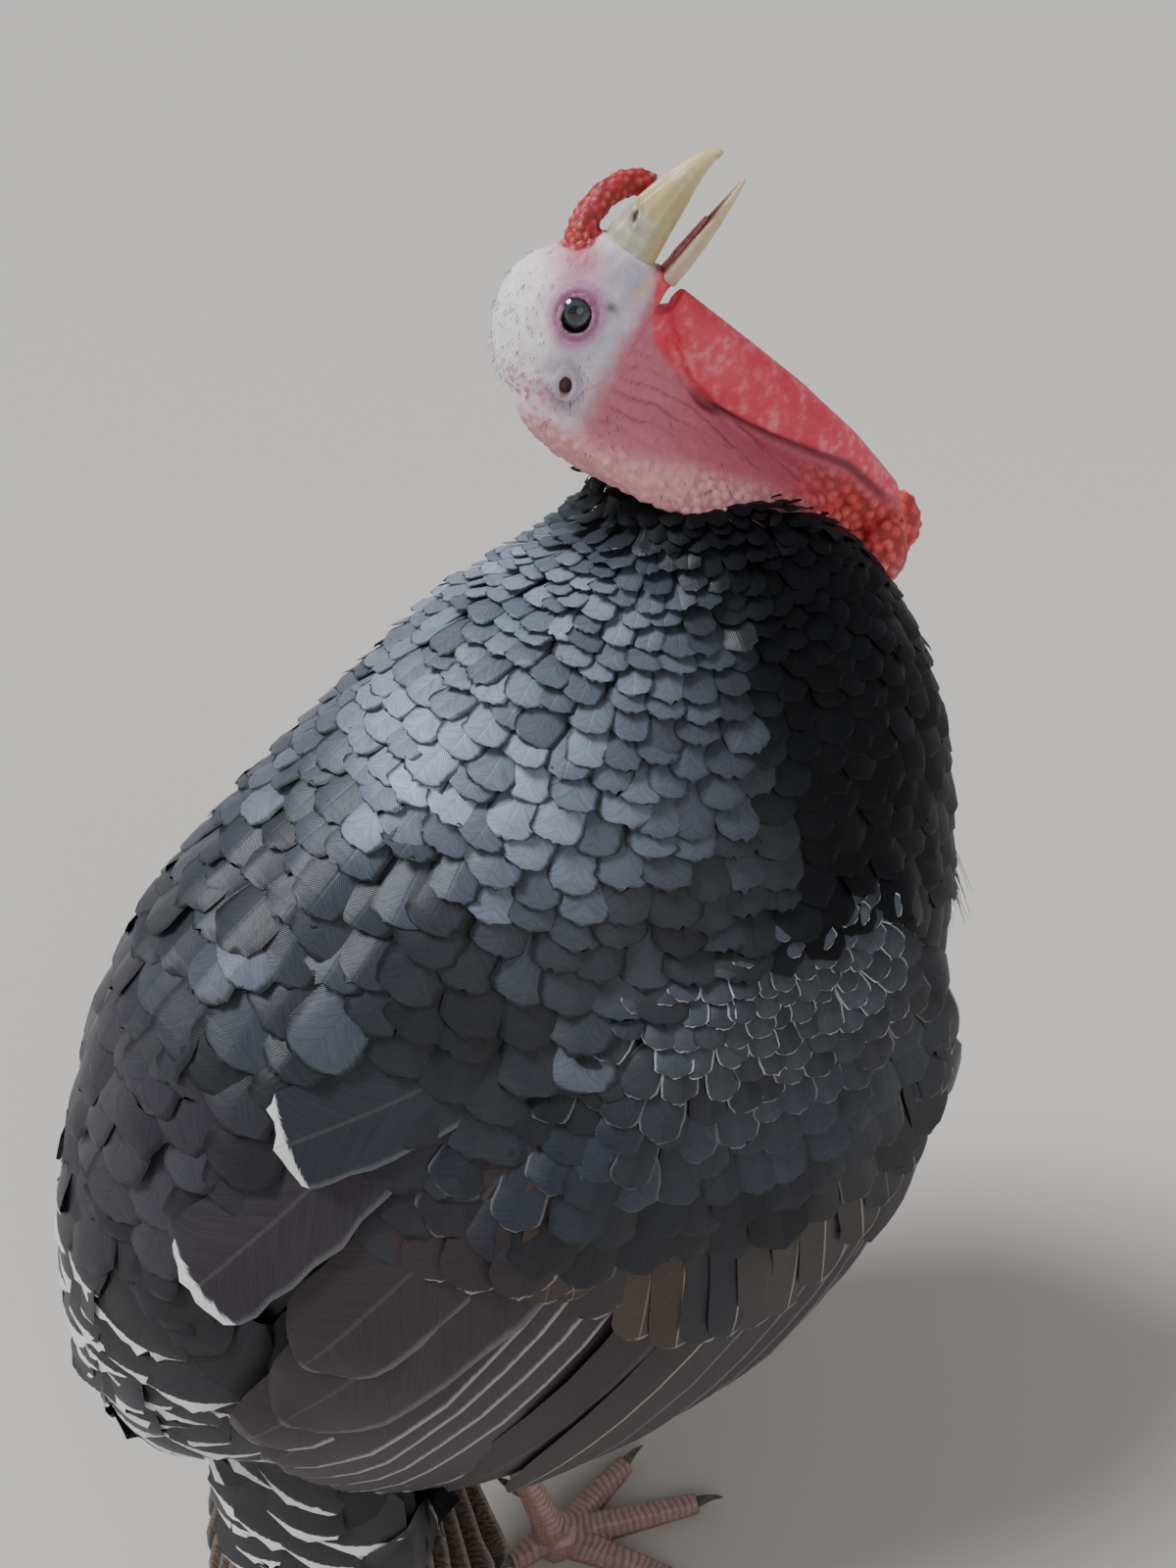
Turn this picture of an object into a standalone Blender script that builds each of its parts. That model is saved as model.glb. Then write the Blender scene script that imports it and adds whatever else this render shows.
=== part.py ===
"""Domestic turkey, an adult black-bronze tom, standing with its neck drawn back and its bill raised.

Metres, +Z up. The bird faces +X and its left side is +Y. The soles stand at z = 0.
Body points are written as offsets from the middle of the trunk, which is BODY_HEIGHT above the soles.
Head points are written from the middle of the gape, with X along the closed bill and Z to the crown.
"""
import math

import bmesh
import bpy
from mathutils import Matrix, Vector

# ---------------------------------------------------------------- driving sizes
BODY_HEIGHT = 0.455            # middle of the trunk above the soles
TRUNK_PITCH = math.radians(35)  # back of the trunk lies lower than the breast
GAP = 0.0003                   # clearance between neighbouring solids
BLADE = 0.0004                 # width of the cuts that part the body

GAPE = Vector((0.0385, -0.011, 0.3460))   # middle of the gape, from the trunk's middle
HEAD_YAW = math.radians(-20)    # the head is turned to the bird's right
HEAD_PITCH = math.radians(58)   # the bill is raised
GAPE_ANGLE = math.radians(12)   # the lower bill hangs open

EYE_RADIUS = 0.0083
EYE_SPOT = Vector((-0.0180, 0.0134, 0.0190))
EAR_SPOT = Vector((-0.0435, 0.0206, 0.0085))
EAR_SIZE = Vector((0.0062, 0.0022, 0.0078))
EAR_PIT = Vector((0.0028, 0.0034, 0.0042))

TAIL_ROOT = Vector((-0.134, -0.028, -0.184))
TAIL_YAW = math.radians(54)     # the tail swings to the bird's right
TAIL_DIP = (math.radians(56), math.radians(70))  # below level, at the root and at the tips
TAIL_LENGTH = 0.278
TAIL_SPREAD = math.radians(22)  # half angle of the fan
TAIL_ROOF = 0.22                # how far the outer feathers slope down from the middle ones
TAIL_GRADE = 0.22               # how much shorter the outer feathers are
TAIL_TIPS = 9                   # feather tips that scallop the end of the fan

FOOT_X = -0.030                 # ball of the foot, fore and aft
FOOT_Y = 0.074                  # ball of the foot from the midline
TOE_TURN = math.radians(7)      # feet turned out
SHANK_RADIUS = 0.0082
HOCK = Vector((-0.068, 0.070, 0.170))     # above the soles

# ---------------------------------------------------------------- materials
MATERIALS = {
    "plumage_black": ((0.018, 0.020, 0.026), 0.50),
    "plumage_coverts": ((0.024, 0.028, 0.038), 0.45),
    "plumage_brown": ((0.050, 0.040, 0.036), 0.60),
    "plumage_tail": ((0.090, 0.062, 0.045), 0.62),
    "bare_skin": ((0.72, 0.52, 0.56), 0.48),
    "red_skin": ((0.62, 0.06, 0.07), 0.42),
    "bill_horn": ((0.62, 0.52, 0.34), 0.40),
    "tongue_flesh": ((0.55, 0.22, 0.24), 0.40),
    "eye_dark": ((0.012, 0.012, 0.016), 0.08),
    "beard_bristle": ((0.010, 0.009, 0.009), 0.60),
    "leg_scale": ((0.36, 0.25, 0.23), 0.55),
    "claw_horn": ((0.10, 0.075, 0.06), 0.38),
}


def material(name):
    """One Principled material, made once."""
    found = bpy.data.materials.get(name)
    if found:
        return found
    colour, rough = MATERIALS[name]
    made = bpy.data.materials.new(name)
    made.use_nodes = True
    shader = made.node_tree.nodes["Principled BSDF"]
    shader.inputs["Base Color"].default_value = (*colour, 1.0)
    shader.inputs["Roughness"].default_value = rough
    made.diffuse_color = (*colour, 1.0)
    return made


# ---------------------------------------------------------------- frames
def body_point(x, y, z):
    """A point given from the trunk's middle."""
    return Vector((x, y, z + BODY_HEIGHT))


def trunk_point(u, y, w):
    """A point in the pitched frame of the trunk: u along the back, w square to it."""
    cos_p, sin_p = math.cos(TRUNK_PITCH), math.sin(TRUNK_PITCH)
    return body_point(u * cos_p - w * sin_p, y, u * sin_p + w * cos_p)


HEAD_FRAME = (Matrix.Translation(GAPE + Vector((0, 0, BODY_HEIGHT)))
              @ Matrix.Rotation(HEAD_YAW, 4, "Z")
              @ Matrix.Rotation(-HEAD_PITCH, 4, "Y"))


def head_point(x, y, z):
    """A point in the head's frame."""
    return HEAD_FRAME @ Vector((x, y, z))


# ---------------------------------------------------------------- mesh helpers
def spline(rows, steps):
    """Rows of numbers, smoothed with a Catmull-Rom curve that passes through each row."""
    fine = []
    last = len(rows) - 1
    for i in range(last):
        before, start, end, after = rows[max(i - 1, 0)], rows[i], rows[i + 1], rows[min(i + 2, last)]
        for k in range(steps):
            t = k / steps
            fine.append(tuple(
                0.5 * (2 * b + (c - a) * t + (2 * a - 5 * b + 4 * c - d) * t * t
                       + (3 * b - a - 3 * c + d) * t ** 3)
                for a, b, c, d in zip(before, start, end, after)))
    fine.append(tuple(rows[-1]))
    return fine


def new_object(name, bm, turn_outward=True):
    """A mesh object from a bmesh, in triangles and shaded smooth."""
    bmesh.ops.triangulate(bm, faces=bm.faces)
    if turn_outward:
        bmesh.ops.recalc_face_normals(bm, faces=bm.faces)
    mesh = bpy.data.meshes.new(name)
    bm.to_mesh(mesh)
    bm.free()
    mesh.shade_smooth()
    made = bpy.data.objects.new(name, mesh)
    bpy.context.scene.collection.objects.link(made)
    return made


def loft(name, rings):
    """A closed solid through rings of points, capped at both ends."""
    bm = bmesh.new()
    rows = [[bm.verts.new(p) for p in ring] for ring in rings]
    for low, high in zip(rows, rows[1:]):
        for k in range(len(low)):
            n = (k + 1) % len(low)
            bm.faces.new((low[k], low[n], high[n], high[k]))
    for row, flip in ((rows[0], True), (rows[-1], False)):
        middle = bm.verts.new(sum((v.co for v in row), Vector()) / len(row))
        for k in range(len(row)):
            pair = (row[k], row[(k + 1) % len(row)])
            bm.faces.new((middle, *(reversed(pair) if flip else pair)))
    return new_object(name, bm)


def oval_ring(top, bottom, side, half_width, count, square=0.92, low=0.0):
    """An oval of points between a top and a bottom point; low shifts the widest place down."""
    middle, reach = (top + bottom) / 2, (top - bottom) / 2
    ring = []
    for k in range(count):
        angle = 2 * math.pi * k / count
        across = math.sin(angle)
        along = math.cos(angle)
        wide = half_width * math.copysign(abs(across) ** square, across)
        ring.append(middle + reach * (along - low * (1 - along * along)) + side * wide)
    return ring


def ball(name, centre, radii, frame=None, segments=12):
    """An ellipsoid with its poles across the body."""
    bm = bmesh.new()
    upright = Matrix.Rotation(math.radians(90), 4, "X")
    bmesh.ops.create_uvsphere(bm, u_segments=segments, v_segments=segments // 2 + 1, radius=1.0,
                              matrix=upright)
    spin = frame.to_3x3() if frame else Matrix.Identity(3)
    for vert in bm.verts:
        scaled = Vector((vert.co.x * radii[0], vert.co.y * radii[1], vert.co.z * radii[2]))
        vert.co = Vector(centre) + spin @ scaled
    return new_object(name, bm)


def tube(name, points, radii, count=12, flat=1.0):
    """A round tube along points, with a radius at each; flat squeezes it sideways."""
    rings = []
    for i, (point, radius) in enumerate(zip(points, radii)):
        ahead = points[min(i + 1, len(points) - 1)] - points[max(i - 1, 0)]
        ahead.normalize()
        side = ahead.cross(Vector((0, 0, 1)))
        if side.length < 0.05:
            side = ahead.cross(Vector((1, 0, 0)))
        side.normalize()
        lift = side.cross(ahead)
        rings.append([point + radius * (flat * math.cos(a) * side + math.sin(a) * lift)
                      for a in (2 * math.pi * k / count for k in range(count))])
    return loft(name, rings)


def applied(target):
    """Replace an object's mesh with its evaluated one and drop its modifiers."""
    bpy.context.view_layer.update()
    graph = bpy.context.evaluated_depsgraph_get()
    mesh = bpy.data.meshes.new_from_object(target.evaluated_get(graph))
    target.modifiers.clear()
    target.data = mesh
    return target


def remove(*things):
    for thing in things:
        bpy.data.objects.remove(thing, do_unlink=True)


def combine(target, other, operation):
    """Apply one exact Boolean to the target and remove the other solid."""
    modifier = target.modifiers.new("combine", "BOOLEAN")
    modifier.operation = operation
    modifier.solver = "EXACT"
    modifier.object = other
    applied(target)
    remove(other)
    return target


def grown(source, distance):
    """A copy swollen by a distance along its normals, used as a cutter."""
    swollen = source.copy()
    swollen.data = source.data.copy()
    bpy.context.scene.collection.objects.link(swollen)
    normals = [v.normal.copy() for v in swollen.data.vertices]
    for vert, normal in zip(swollen.data.vertices, normals):
        vert.co = vert.co + normal * distance
    return swollen


def mirrored(source, name):
    """A copy on the bird's other side."""
    other = source.copy()
    other.data = source.data.copy()
    other.name = name
    bpy.context.scene.collection.objects.link(other)
    for vert in other.data.vertices:
        vert.co.y = -vert.co.y
    other.data.flip_normals()
    return other


def islands(source):
    """Split an object into its loose bodies, largest first."""
    bm = bmesh.new()
    bm.from_mesh(source.data)
    bm.verts.ensure_lookup_table()
    unseen, groups = set(bm.verts), []
    while unseen:
        seed = unseen.pop()
        group, front = {seed}, [seed]
        while front:
            vert = front.pop()
            for edge in vert.link_edges:
                other = edge.other_vert(vert)
                if other in unseen:
                    unseen.remove(other)
                    group.add(other)
                    front.append(other)
        groups.append(group)
    pieces = []
    for group in sorted(groups, key=len, reverse=True):
        piece = bmesh.new()
        copies = {v: piece.verts.new(v.co) for v in sorted(group, key=lambda v: v.index)}
        for face in bm.faces:
            if face.verts[0] in group:
                piece.faces.new([copies[v] for v in face.verts])
        pieces.append(new_object(source.name + "_piece", piece, turn_outward=False))
    bm.free()
    remove(source)
    return pieces


def centre_of(thing):
    total = sum((v.co for v in thing.data.vertices), Vector())
    return total / len(thing.data.vertices)


def drop_flaps(bm):
    """Delete pairs of faces that lie back to back on the same corners."""
    first = {}
    doubled = set()
    for face in bm.faces:
        corners = frozenset(face.verts)
        if corners in first:
            doubled.update((face, first[corners]))
        first[corners] = face
    bmesh.ops.delete(bm, geom=list(doubled), context="FACES")


def finish(thing, name, surface):
    """Give a solid its node name and material, and clean slivers left by the cuts."""
    bm = bmesh.new()
    bm.from_mesh(thing.data)
    bmesh.ops.remove_doubles(bm, verts=bm.verts, dist=0.00001)
    bmesh.ops.dissolve_degenerate(bm, edges=bm.edges, dist=0.000005)
    bmesh.ops.triangulate(bm, faces=bm.faces)
    drop_flaps(bm)
    bm.to_mesh(thing.data)
    bm.free()
    thing.data.shade_smooth()
    thing.data.set_sharp_from_angle(angle=math.radians(40))
    thing.name = name
    thing.data.materials.clear()
    thing.data.materials.append(material(surface))
    return thing


# ---------------------------------------------------------------- trunk and feathered neck
# back x, z; belly x, z; half width; sideways shift. From the tail's root to the neck's ruff.
BODY_ROWS = [
    (-0.266, -0.216, -0.122, -0.230, 0.060, -0.016),
    (-0.277, -0.178, -0.100, -0.236, 0.088, -0.008),
    (-0.272, -0.110, -0.068, -0.240, 0.113, 0.0),
    (-0.253, -0.037, -0.028, -0.237, 0.130, 0.0),
    (-0.220, 0.035, 0.020, -0.226, 0.138, 0.0),
    (-0.174, 0.096, 0.072, -0.204, 0.140, 0.0),
    (-0.070, 0.187, 0.166, -0.116, 0.131, 0.0),
    (-0.028, 0.216, 0.203, -0.058, 0.120, 0.0),
    (0.004, 0.233, 0.223, 0.000, 0.105, 0.0),
    (0.027, 0.253, 0.208, 0.122, 0.075, -0.002),
    (0.024, 0.268, 0.178, 0.188, 0.0555, -0.003),
]
BODY_SIDES = 18


def body_rings():
    rings = []
    rows = spline(BODY_ROWS, 2)
    first = rows[0]
    for back_x, back_z, belly_x, belly_z, wide, shift in rows:
        rings.append(oval_ring(body_point(back_x, shift, back_z), body_point(belly_x, shift, belly_z),
                               Vector((0, 1, 0)), wide, BODY_SIDES, 0.90, 0.05))
    middle = body_point((first[0] + first[2]) / 2, first[5], (first[1] + first[3]) / 2)
    tucked = [middle + (p - middle) * 0.55 + Vector((-0.006, -0.004, -0.014)) for p in rings[0]]
    rounded = [p + (middle - p) * 0.18 + Vector((-0.003, -0.002, -0.008)) for p in rings[0]]
    return [tucked, rounded] + rings


# ---------------------------------------------------------------- bare neck and dewlap
# nape x, z; throat x, z; half width; sideways shift. Lowest rows lie inside the ruff.
NECK_ROWS = [
    (0.052, 0.222, 0.152, 0.176, 0.040, -0.003),
    (0.026, 0.262, 0.163, 0.204, 0.038, -0.003),
    (0.004, 0.280, 0.148, 0.240, 0.034, -0.003),
    (-0.008, 0.293, 0.114, 0.270, 0.027, -0.002),
    (-0.013, 0.306, 0.084, 0.296, 0.0195, -0.002),
    (-0.010, 0.318, 0.066, 0.322, 0.013, -0.004),
    (0.012, 0.332, 0.060, 0.338, 0.009, -0.008),
]
# back x, z; front x, z; half thickness; sideways shift. From the chin to the caruncles.
DEWLAP_ROWS = [
    (0.050, 0.337, 0.0565, 0.3455, 0.0040, -0.014),
    (0.060, 0.308, 0.085, 0.324, 0.0075, -0.014),
    (0.084, 0.284, 0.116, 0.300, 0.0085, -0.014),
    (0.114, 0.260, 0.148, 0.272, 0.0090, -0.013),
    (0.138, 0.236, 0.173, 0.246, 0.0095, -0.011),
    (0.150, 0.216, 0.182, 0.224, 0.0090, -0.009),
    (0.156, 0.203, 0.178, 0.206, 0.0070, -0.008),
]


def slanted_rings(rows, steps, count, square, low):
    rings = []
    for top_x, top_z, low_x, low_z, wide, shift in spline(rows, steps):
        rings.append(oval_ring(body_point(top_x, shift, top_z), body_point(low_x, shift, low_z),
                               Vector((0, 1, 0)), wide, count, square, low))
    return rings


# ---------------------------------------------------------------- head
# x; top z; bottom z; half width, in the head's frame.
HEAD_ROWS = [
    (-0.0610, 0.0240, -0.0020, 0.0100),
    (-0.0565, 0.0335, -0.0070, 0.0165),
    (-0.0480, 0.0405, -0.0100, 0.0202),
    (-0.0380, 0.0458, -0.0112, 0.0218),
    (-0.0280, 0.0478, -0.0112, 0.0218),
    (-0.0180, 0.0474, -0.0108, 0.0206),
    (-0.0090, 0.0430, -0.0104, 0.0182),
    (-0.0010, 0.0362, -0.0100, 0.0150),
    (0.0060, 0.0296, -0.0096, 0.0122),
    (0.0102, 0.0256, -0.0090, 0.0108),
]
UPPER_BILL_ROWS = [
    (0.0106, 0.0238, 0.0004, 0.0106),
    (0.0200, 0.0220, 0.0008, 0.0096),
    (0.0300, 0.0190, 0.0014, 0.0082),
    (0.0400, 0.0154, 0.0020, 0.0064),
    (0.0490, 0.0114, 0.0024, 0.0045),
    (0.0555, 0.0078, 0.0022, 0.0028),
    (0.0595, 0.0042, 0.0014, 0.0012),
]
# distance along the open lower bill; top; bottom; half width.
LOWER_BILL_ROWS = [
    (0.0106, -0.0006, -0.0094, 0.0102),
    (0.0200, -0.0006, -0.0090, 0.0088),
    (0.0300, -0.0004, -0.0078, 0.0072),
    (0.0400, -0.0002, -0.0060, 0.0054),
    (0.0500, 0.0000, -0.0036, 0.0034),
    (0.0575, 0.0002, -0.0012, 0.0014),
]
# the hollow between the lower bill's rims, and the tongue that lies in it.
TROUGH_ROWS = [
    (0.004, 0.010, -0.0046, 0.0078),
    (0.020, 0.010, -0.0044, 0.0066),
    (0.036, 0.010, -0.0034, 0.0046),
    (0.050, 0.010, -0.0014, 0.0022),
]
TONGUE_ROWS = [
    (0.0125, -0.0006, -0.0034, 0.0036),
    (0.0200, 0.0006, -0.0030, 0.0040),
    (0.0300, 0.0008, -0.0022, 0.0032),
    (0.0380, 0.0010, -0.0010, 0.0018),
]


def head_rings(rows, steps, count, square, frame, low=0.0):
    rings = []
    for x, top, bottom, wide in spline(rows, steps):
        ring = oval_ring(Vector((x, 0, top)), Vector((x, 0, bottom)), Vector((0, 1, 0)),
                         wide, count, square, low)
        rings.append([frame @ p for p in ring])
    return rings


def jaw_frame():
    return HEAD_FRAME @ Matrix.Rotation(GAPE_ANGLE, 4, "Y")


def gape_wedge():
    """The open mouth, from the corner of the gape forward."""
    reach, half = 0.030, 0.030
    bm = bmesh.new()
    drop = math.tan(GAPE_ANGLE) * (reach + 0.0006)
    profile = [(-0.0006, 0.0002), (reach, 0.0002), (reach, -drop)]
    left = [bm.verts.new(head_point(x, half, z)) for x, z in profile]
    right = [bm.verts.new(head_point(x, -half, z)) for x, z in profile]
    bm.faces.new(left)
    bm.faces.new(right)
    for k in range(3):
        n = (k + 1) % 3
        bm.faces.new((left[k], left[n], right[n], right[k]))
    return new_object("gape_wedge", bm)


# The snood, from its base above the bill, curling down the bill's far side.
SNOOD_POINTS = [(-0.001, 0.000, 0.0265), (0.0045, 0.001, 0.0300), (0.0115, 0.003, 0.0322),
                (0.0210, 0.007, 0.0302), (0.0285, 0.0115, 0.0255), (0.0325, 0.0145, 0.0190),
                (0.0340, 0.0155, 0.0115), (0.0345, 0.0155, 0.0045)]
SNOOD_RADII = [0.0082, 0.0068, 0.0056, 0.0052, 0.0051, 0.0049, 0.0043, 0.0026]


def make_snood():
    points = [head_point(*p) for p in SNOOD_POINTS]
    return tube("snood", points, SNOOD_RADII, 8)


KNOBS, KNOB_HEIGHT = 7.0, 0.0016        # how close the caruncles' knobs stand, and how high


def lumpy_ball(name, centre, radii):
    """A caruncle: an ellipsoid with rounded knobs."""
    made = ball(name, centre, radii)
    for vert in made.data.vertices:
        out = vert.co - Vector(centre)
        away = out.normalized()
        knob = (math.sin(KNOBS * away.x + 0.7) * math.sin(KNOBS * away.y + 1.9)
                * math.sin(KNOBS * away.z))
        vert.co = vert.co + away * KNOB_HEIGHT * knob
    return made


# ---------------------------------------------------------------- wings
WING_MIDDLE = (-0.030, -0.050)
WING_RADII = (0.330, 0.215, 0.168)
WING_SKIRT = 0.300             # the lower half of the wing hangs straighter
WING_FRONT = 0.262             # the wrist turns in against the breast
# lower edge u, w; upper and trailing edge u, w; thickness. From the shoulder to the tips.
WING_ROWS = [
    (0.166, -0.004, 0.160, 0.020, 0.010),
    (0.158, -0.052, 0.143, 0.068, 0.022),
    (0.136, -0.100, 0.106, 0.104, 0.027),
    (0.093, -0.154, 0.050, 0.134, 0.027),
    (0.036, -0.206, -0.015, 0.146, 0.022),
    (-0.022, -0.230, -0.077, 0.145, 0.017),
    (-0.084, -0.235, -0.140, 0.125, 0.012),
    (-0.145, -0.220, -0.196, 0.084, 0.010),
    (-0.195, -0.198, -0.242, 0.014, 0.007),
    (-0.226, -0.172, -0.262, -0.060, 0.005),
    (-0.240, -0.152, -0.258, -0.110, 0.003),
]
WING_TIPS = 10                 # feather tips that notch the trailing edge
WING_NOTCH = 0.006
# the coverts end and the flight feathers show beyond this line, u and w.
COVERT_LINE = [(-0.118, 0.200), (-0.098, 0.117), (-0.070, 0.052), (-0.040, -0.006),
               (0.004, -0.046), (0.062, -0.082), (0.110, -0.098), (0.190, -0.100)]
# primaries lie below this line.
PRIMARY_LINE = [(0.190, -0.112), (0.110, -0.117), (0.020, -0.140), (-0.090, -0.158),
                (-0.180, -0.148), (-0.300, -0.118)]


def wing_side(u, w):
    """Outer face of the folded wing: distance from the midline."""
    length = WING_FRONT if u > WING_MIDDLE[0] else WING_RADII[0]
    height = WING_RADII[1] if w > WING_MIDDLE[1] else WING_SKIRT
    square = ((u - WING_MIDDLE[0]) / length) ** 2 + ((w - WING_MIDDLE[1]) / height) ** 2
    return WING_RADII[2] * math.sqrt(max(0.05, 1 - square))


def wing_rings(side):
    """Rings of the folded wing, from the shoulder to the tips; side is +1 for the left wing."""
    rings = []
    rows = spline(WING_ROWS, 2)
    across = 4
    for i, (low_u, low_w, up_u, up_w, thick) in enumerate(rows):
        share = i / (len(rows) - 1)
        notch = WING_NOTCH * abs(math.sin(math.pi * WING_TIPS * share)) * min(1.0, 2.2 * share)
        outer, inner = [], []
        for k in range(across):
            t = k / (across - 1)
            u = low_u + (up_u - low_u) * t
            w = low_w + (up_w - low_w) * t
            u -= notch * t * 0.8
            w += notch * t * 0.4
            face = wing_side(u, w)
            swell = math.sqrt(max(0.0, 1 - (2 * t - 1) ** 4))
            outer.append(trunk_point(u, side * (face + 0.001), w))
            inner.append(trunk_point(u, side * (face - 0.0012 - thick * swell), w))
        rings.append(outer + inner[::-1])
    return rings


def ribbon(name, line, frame_point, depth):
    """A thin upright blade along a line, used to part the wing."""
    bm = bmesh.new()
    rows = []
    for i, (u, w) in enumerate(line):
        ahead = Vector(line[min(i + 1, len(line) - 1)]) - Vector(line[max(i - 1, 0)])
        ahead.normalize()
        square = Vector((-ahead.y, ahead.x)) * BLADE / 2
        corners = []
        for sign, y in ((1, depth[0]), (1, depth[1]), (-1, depth[1]), (-1, depth[0])):
            corners.append(bm.verts.new(frame_point(u + sign * square.x, y, w + sign * square.y)))
        rows.append(corners)
    for low, high in zip(rows, rows[1:]):
        for k in range(4):
            n = (k + 1) % 4
            bm.faces.new((low[k], low[n], high[n], high[k]))
    bm.faces.new(rows[0][::-1])
    bm.faces.new(rows[-1])
    return new_object(name, bm)


# ---------------------------------------------------------------- tail
def tail_point(along, turn, lift):
    """A point on the tail's fan: distance from the root, angle in the fan, height above the fan."""
    steps = 12
    place = TAIL_ROOT + Vector((0, 0, BODY_HEIGHT))
    ahead = Vector()
    side = Vector((math.sin(TAIL_YAW), -math.cos(TAIL_YAW), 0))
    for k in range(steps):
        dip = TAIL_DIP[0] + (TAIL_DIP[1] - TAIL_DIP[0]) * (k + 0.5) / steps * along / TAIL_LENGTH
        ahead = Vector((-math.cos(dip) * math.cos(TAIL_YAW), -math.cos(dip) * math.sin(TAIL_YAW),
                        -math.sin(dip)))
        place = place + (ahead * math.cos(turn) + side * math.sin(turn)) * along / steps
    up = side.cross(ahead)
    if up.z < 0:
        up = -up
    roof = -TAIL_ROOF * along * (turn / TAIL_SPREAD) ** 2
    return place + up * (lift + roof)


TAIL_START = 0.046             # the bare fan begins here, under the coverts
TAIL_HALF = (0.0060, 0.0012)   # half thickness of the fan at its root and at its tips
TAIL_COLUMNS = 18
TAIL_NOTCH = 0.010
TAIL_LIFT = -0.004


def make_tail():
    """The half-closed fan of tail feathers, scalloped by their tips."""
    rings = []
    rows = 3
    for i in range(TAIL_COLUMNS + 1):
        across = 2 * i / TAIL_COLUMNS - 1
        turn = TAIL_SPREAD * across
        scallop = abs(math.sin(math.pi * TAIL_TIPS * i / TAIL_COLUMNS))
        reach = TAIL_LENGTH * (1 - TAIL_GRADE * across ** 2) - TAIL_NOTCH * (1 - scallop)
        rim = math.sqrt(max(0.0, 1 - across ** 6)) * 0.75 + 0.25
        top, under = [], []
        for k in range(rows):
            t = k / (rows - 1)
            along = TAIL_START + (reach - TAIL_START) * t
            half = TAIL_HALF[0] + (TAIL_HALF[1] - TAIL_HALF[0]) * t
            top.append(tail_point(along, turn, TAIL_LIFT + half * rim))
            under.append(tail_point(along, turn, TAIL_LIFT - half * rim))
        rings.append(top + under[::-1])
    return loft("tail", rings)


# distance from the root; half width; lowest and highest lift over the fan.
COVERT_CUSHION = [
    (-0.010, 0.060, 0.004, 0.085),
    (0.030, 0.066, 0.004, 0.070),
    (0.070, 0.068, 0.003, 0.050),
    (0.110, 0.064, 0.003, 0.033),
    (0.150, 0.054, 0.003, 0.019),
    (0.185, 0.036, 0.003, 0.009),
]


def cushion_rings(rows, count):
    rings = []
    for along, wide, low, high in rows:
        centre = tail_point(along, 0.0, (low + high) / 2)
        top = tail_point(along, 0.0, high)
        under = tail_point(along, 0.0, low)
        side = Vector((math.sin(TAIL_YAW), -math.cos(TAIL_YAW), 0))
        bend = (top - centre).normalized() * 0.16
        ring = oval_ring(top, under, side, wide, count, 0.85)
        ring = [p - bend * abs((p - centre).dot(side)) ** 1.5 * 3 for p in ring]
        rings.append(ring)
    return rings


# ---------------------------------------------------------------- legs
# Along the drumstick from inside the belly to the hock: place above the soles, then radius.
THIGH_PATH = [
    (0.044, 0.074, 0.284, 0.060),
    (0.013, 0.073, 0.252, 0.051),
    (-0.020, 0.072, 0.222, 0.036),
    (-0.045, 0.071, 0.199, 0.023),
    (-0.061, 0.070, 0.183, 0.0145),
]
# Length of each toe and its turn from straight ahead, in degrees.
TOES = {
    "middle": (0.098, 0.0),
    "inner": (0.070, -34.0),
    "outer": (0.078, 33.0),
    "back": (0.034, 168.0),
}
TOE_START = 0.004              # each toe begins just clear of the ball of the foot
CLAW = 0.019
# Share of the way from ankle to hock, then radius.
SHANK_PATH = [
    (-0.04, 0.0110),
    (0.04, 0.0108),
    (0.14, 0.0090),
    (0.35, SHANK_RADIUS),
    (0.60, SHANK_RADIUS),
    (0.84, 0.0094),
    (0.96, 0.0122),
    (1.04, 0.0104),
]
SPUR_SHARE = 0.30              # place of the spur up the shank
SPUR_WAY = Vector((-0.75, -0.60, 0.10)).normalized()
SPUR_CURVE = 9.0               # how much the spur turns up with its length
# Distance from the shank's axis, then radius.
SPUR_PATH = [(0.0040, 0.0052), (0.0120, 0.0042), (0.0190, 0.0026), (0.0250, 0.0008)]


def toe_direction(turn):
    angle = math.radians(turn) + TOE_TURN
    return Vector((math.cos(angle), math.sin(angle), 0))


def make_toe(name, start, turn, length):
    """A toe with a flat sole and three soft joints."""
    ahead = toe_direction(turn)
    across = Vector((-ahead.y, ahead.x, 0))
    rings = []
    steps = 3
    lift = 0.012 if abs(turn) > 90 else 0.0
    for k in range(steps + 1):
        t = k / steps
        fat = 0.0098 - 0.0040 * t + 0.0007 * math.cos(2 * math.pi * 3 * t)
        height = 2 * fat * (0.92 - 0.12 * t)
        floor = lift * (1 - t) ** 1.5
        middle = Vector(start) + ahead * length * t
        ring = []
        for x, z in ((-0.8, 0.0), (0.8, 0.0), (1.0, 0.42), (0.5, 0.95), (-0.5, 0.95), (-1.0, 0.42)):
            ring.append(Vector((middle.x, middle.y, 0)) + across * x * fat
                        + Vector((0, 0, floor + z * height)))
        rings.append(ring)
    return loft(name, rings)


def make_claw(name, start, turn, length):
    """A claw, curved down to the ground from the toe's end."""
    ahead = toe_direction(turn)
    points, radii = [], []
    base = Vector(start) + ahead * (length + GAP)
    for k in range(4):
        t = k / 3
        points.append(base + ahead * CLAW * t + Vector((0, 0, 0.0066 + 0.0016 * math.sin(2.4 * t)
                                                        - 0.0046 * t * t)))
        radii.append(0.0050 * (1 - 0.84 * t))
    return tube(name, points, radii, 5, 0.8)


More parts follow.
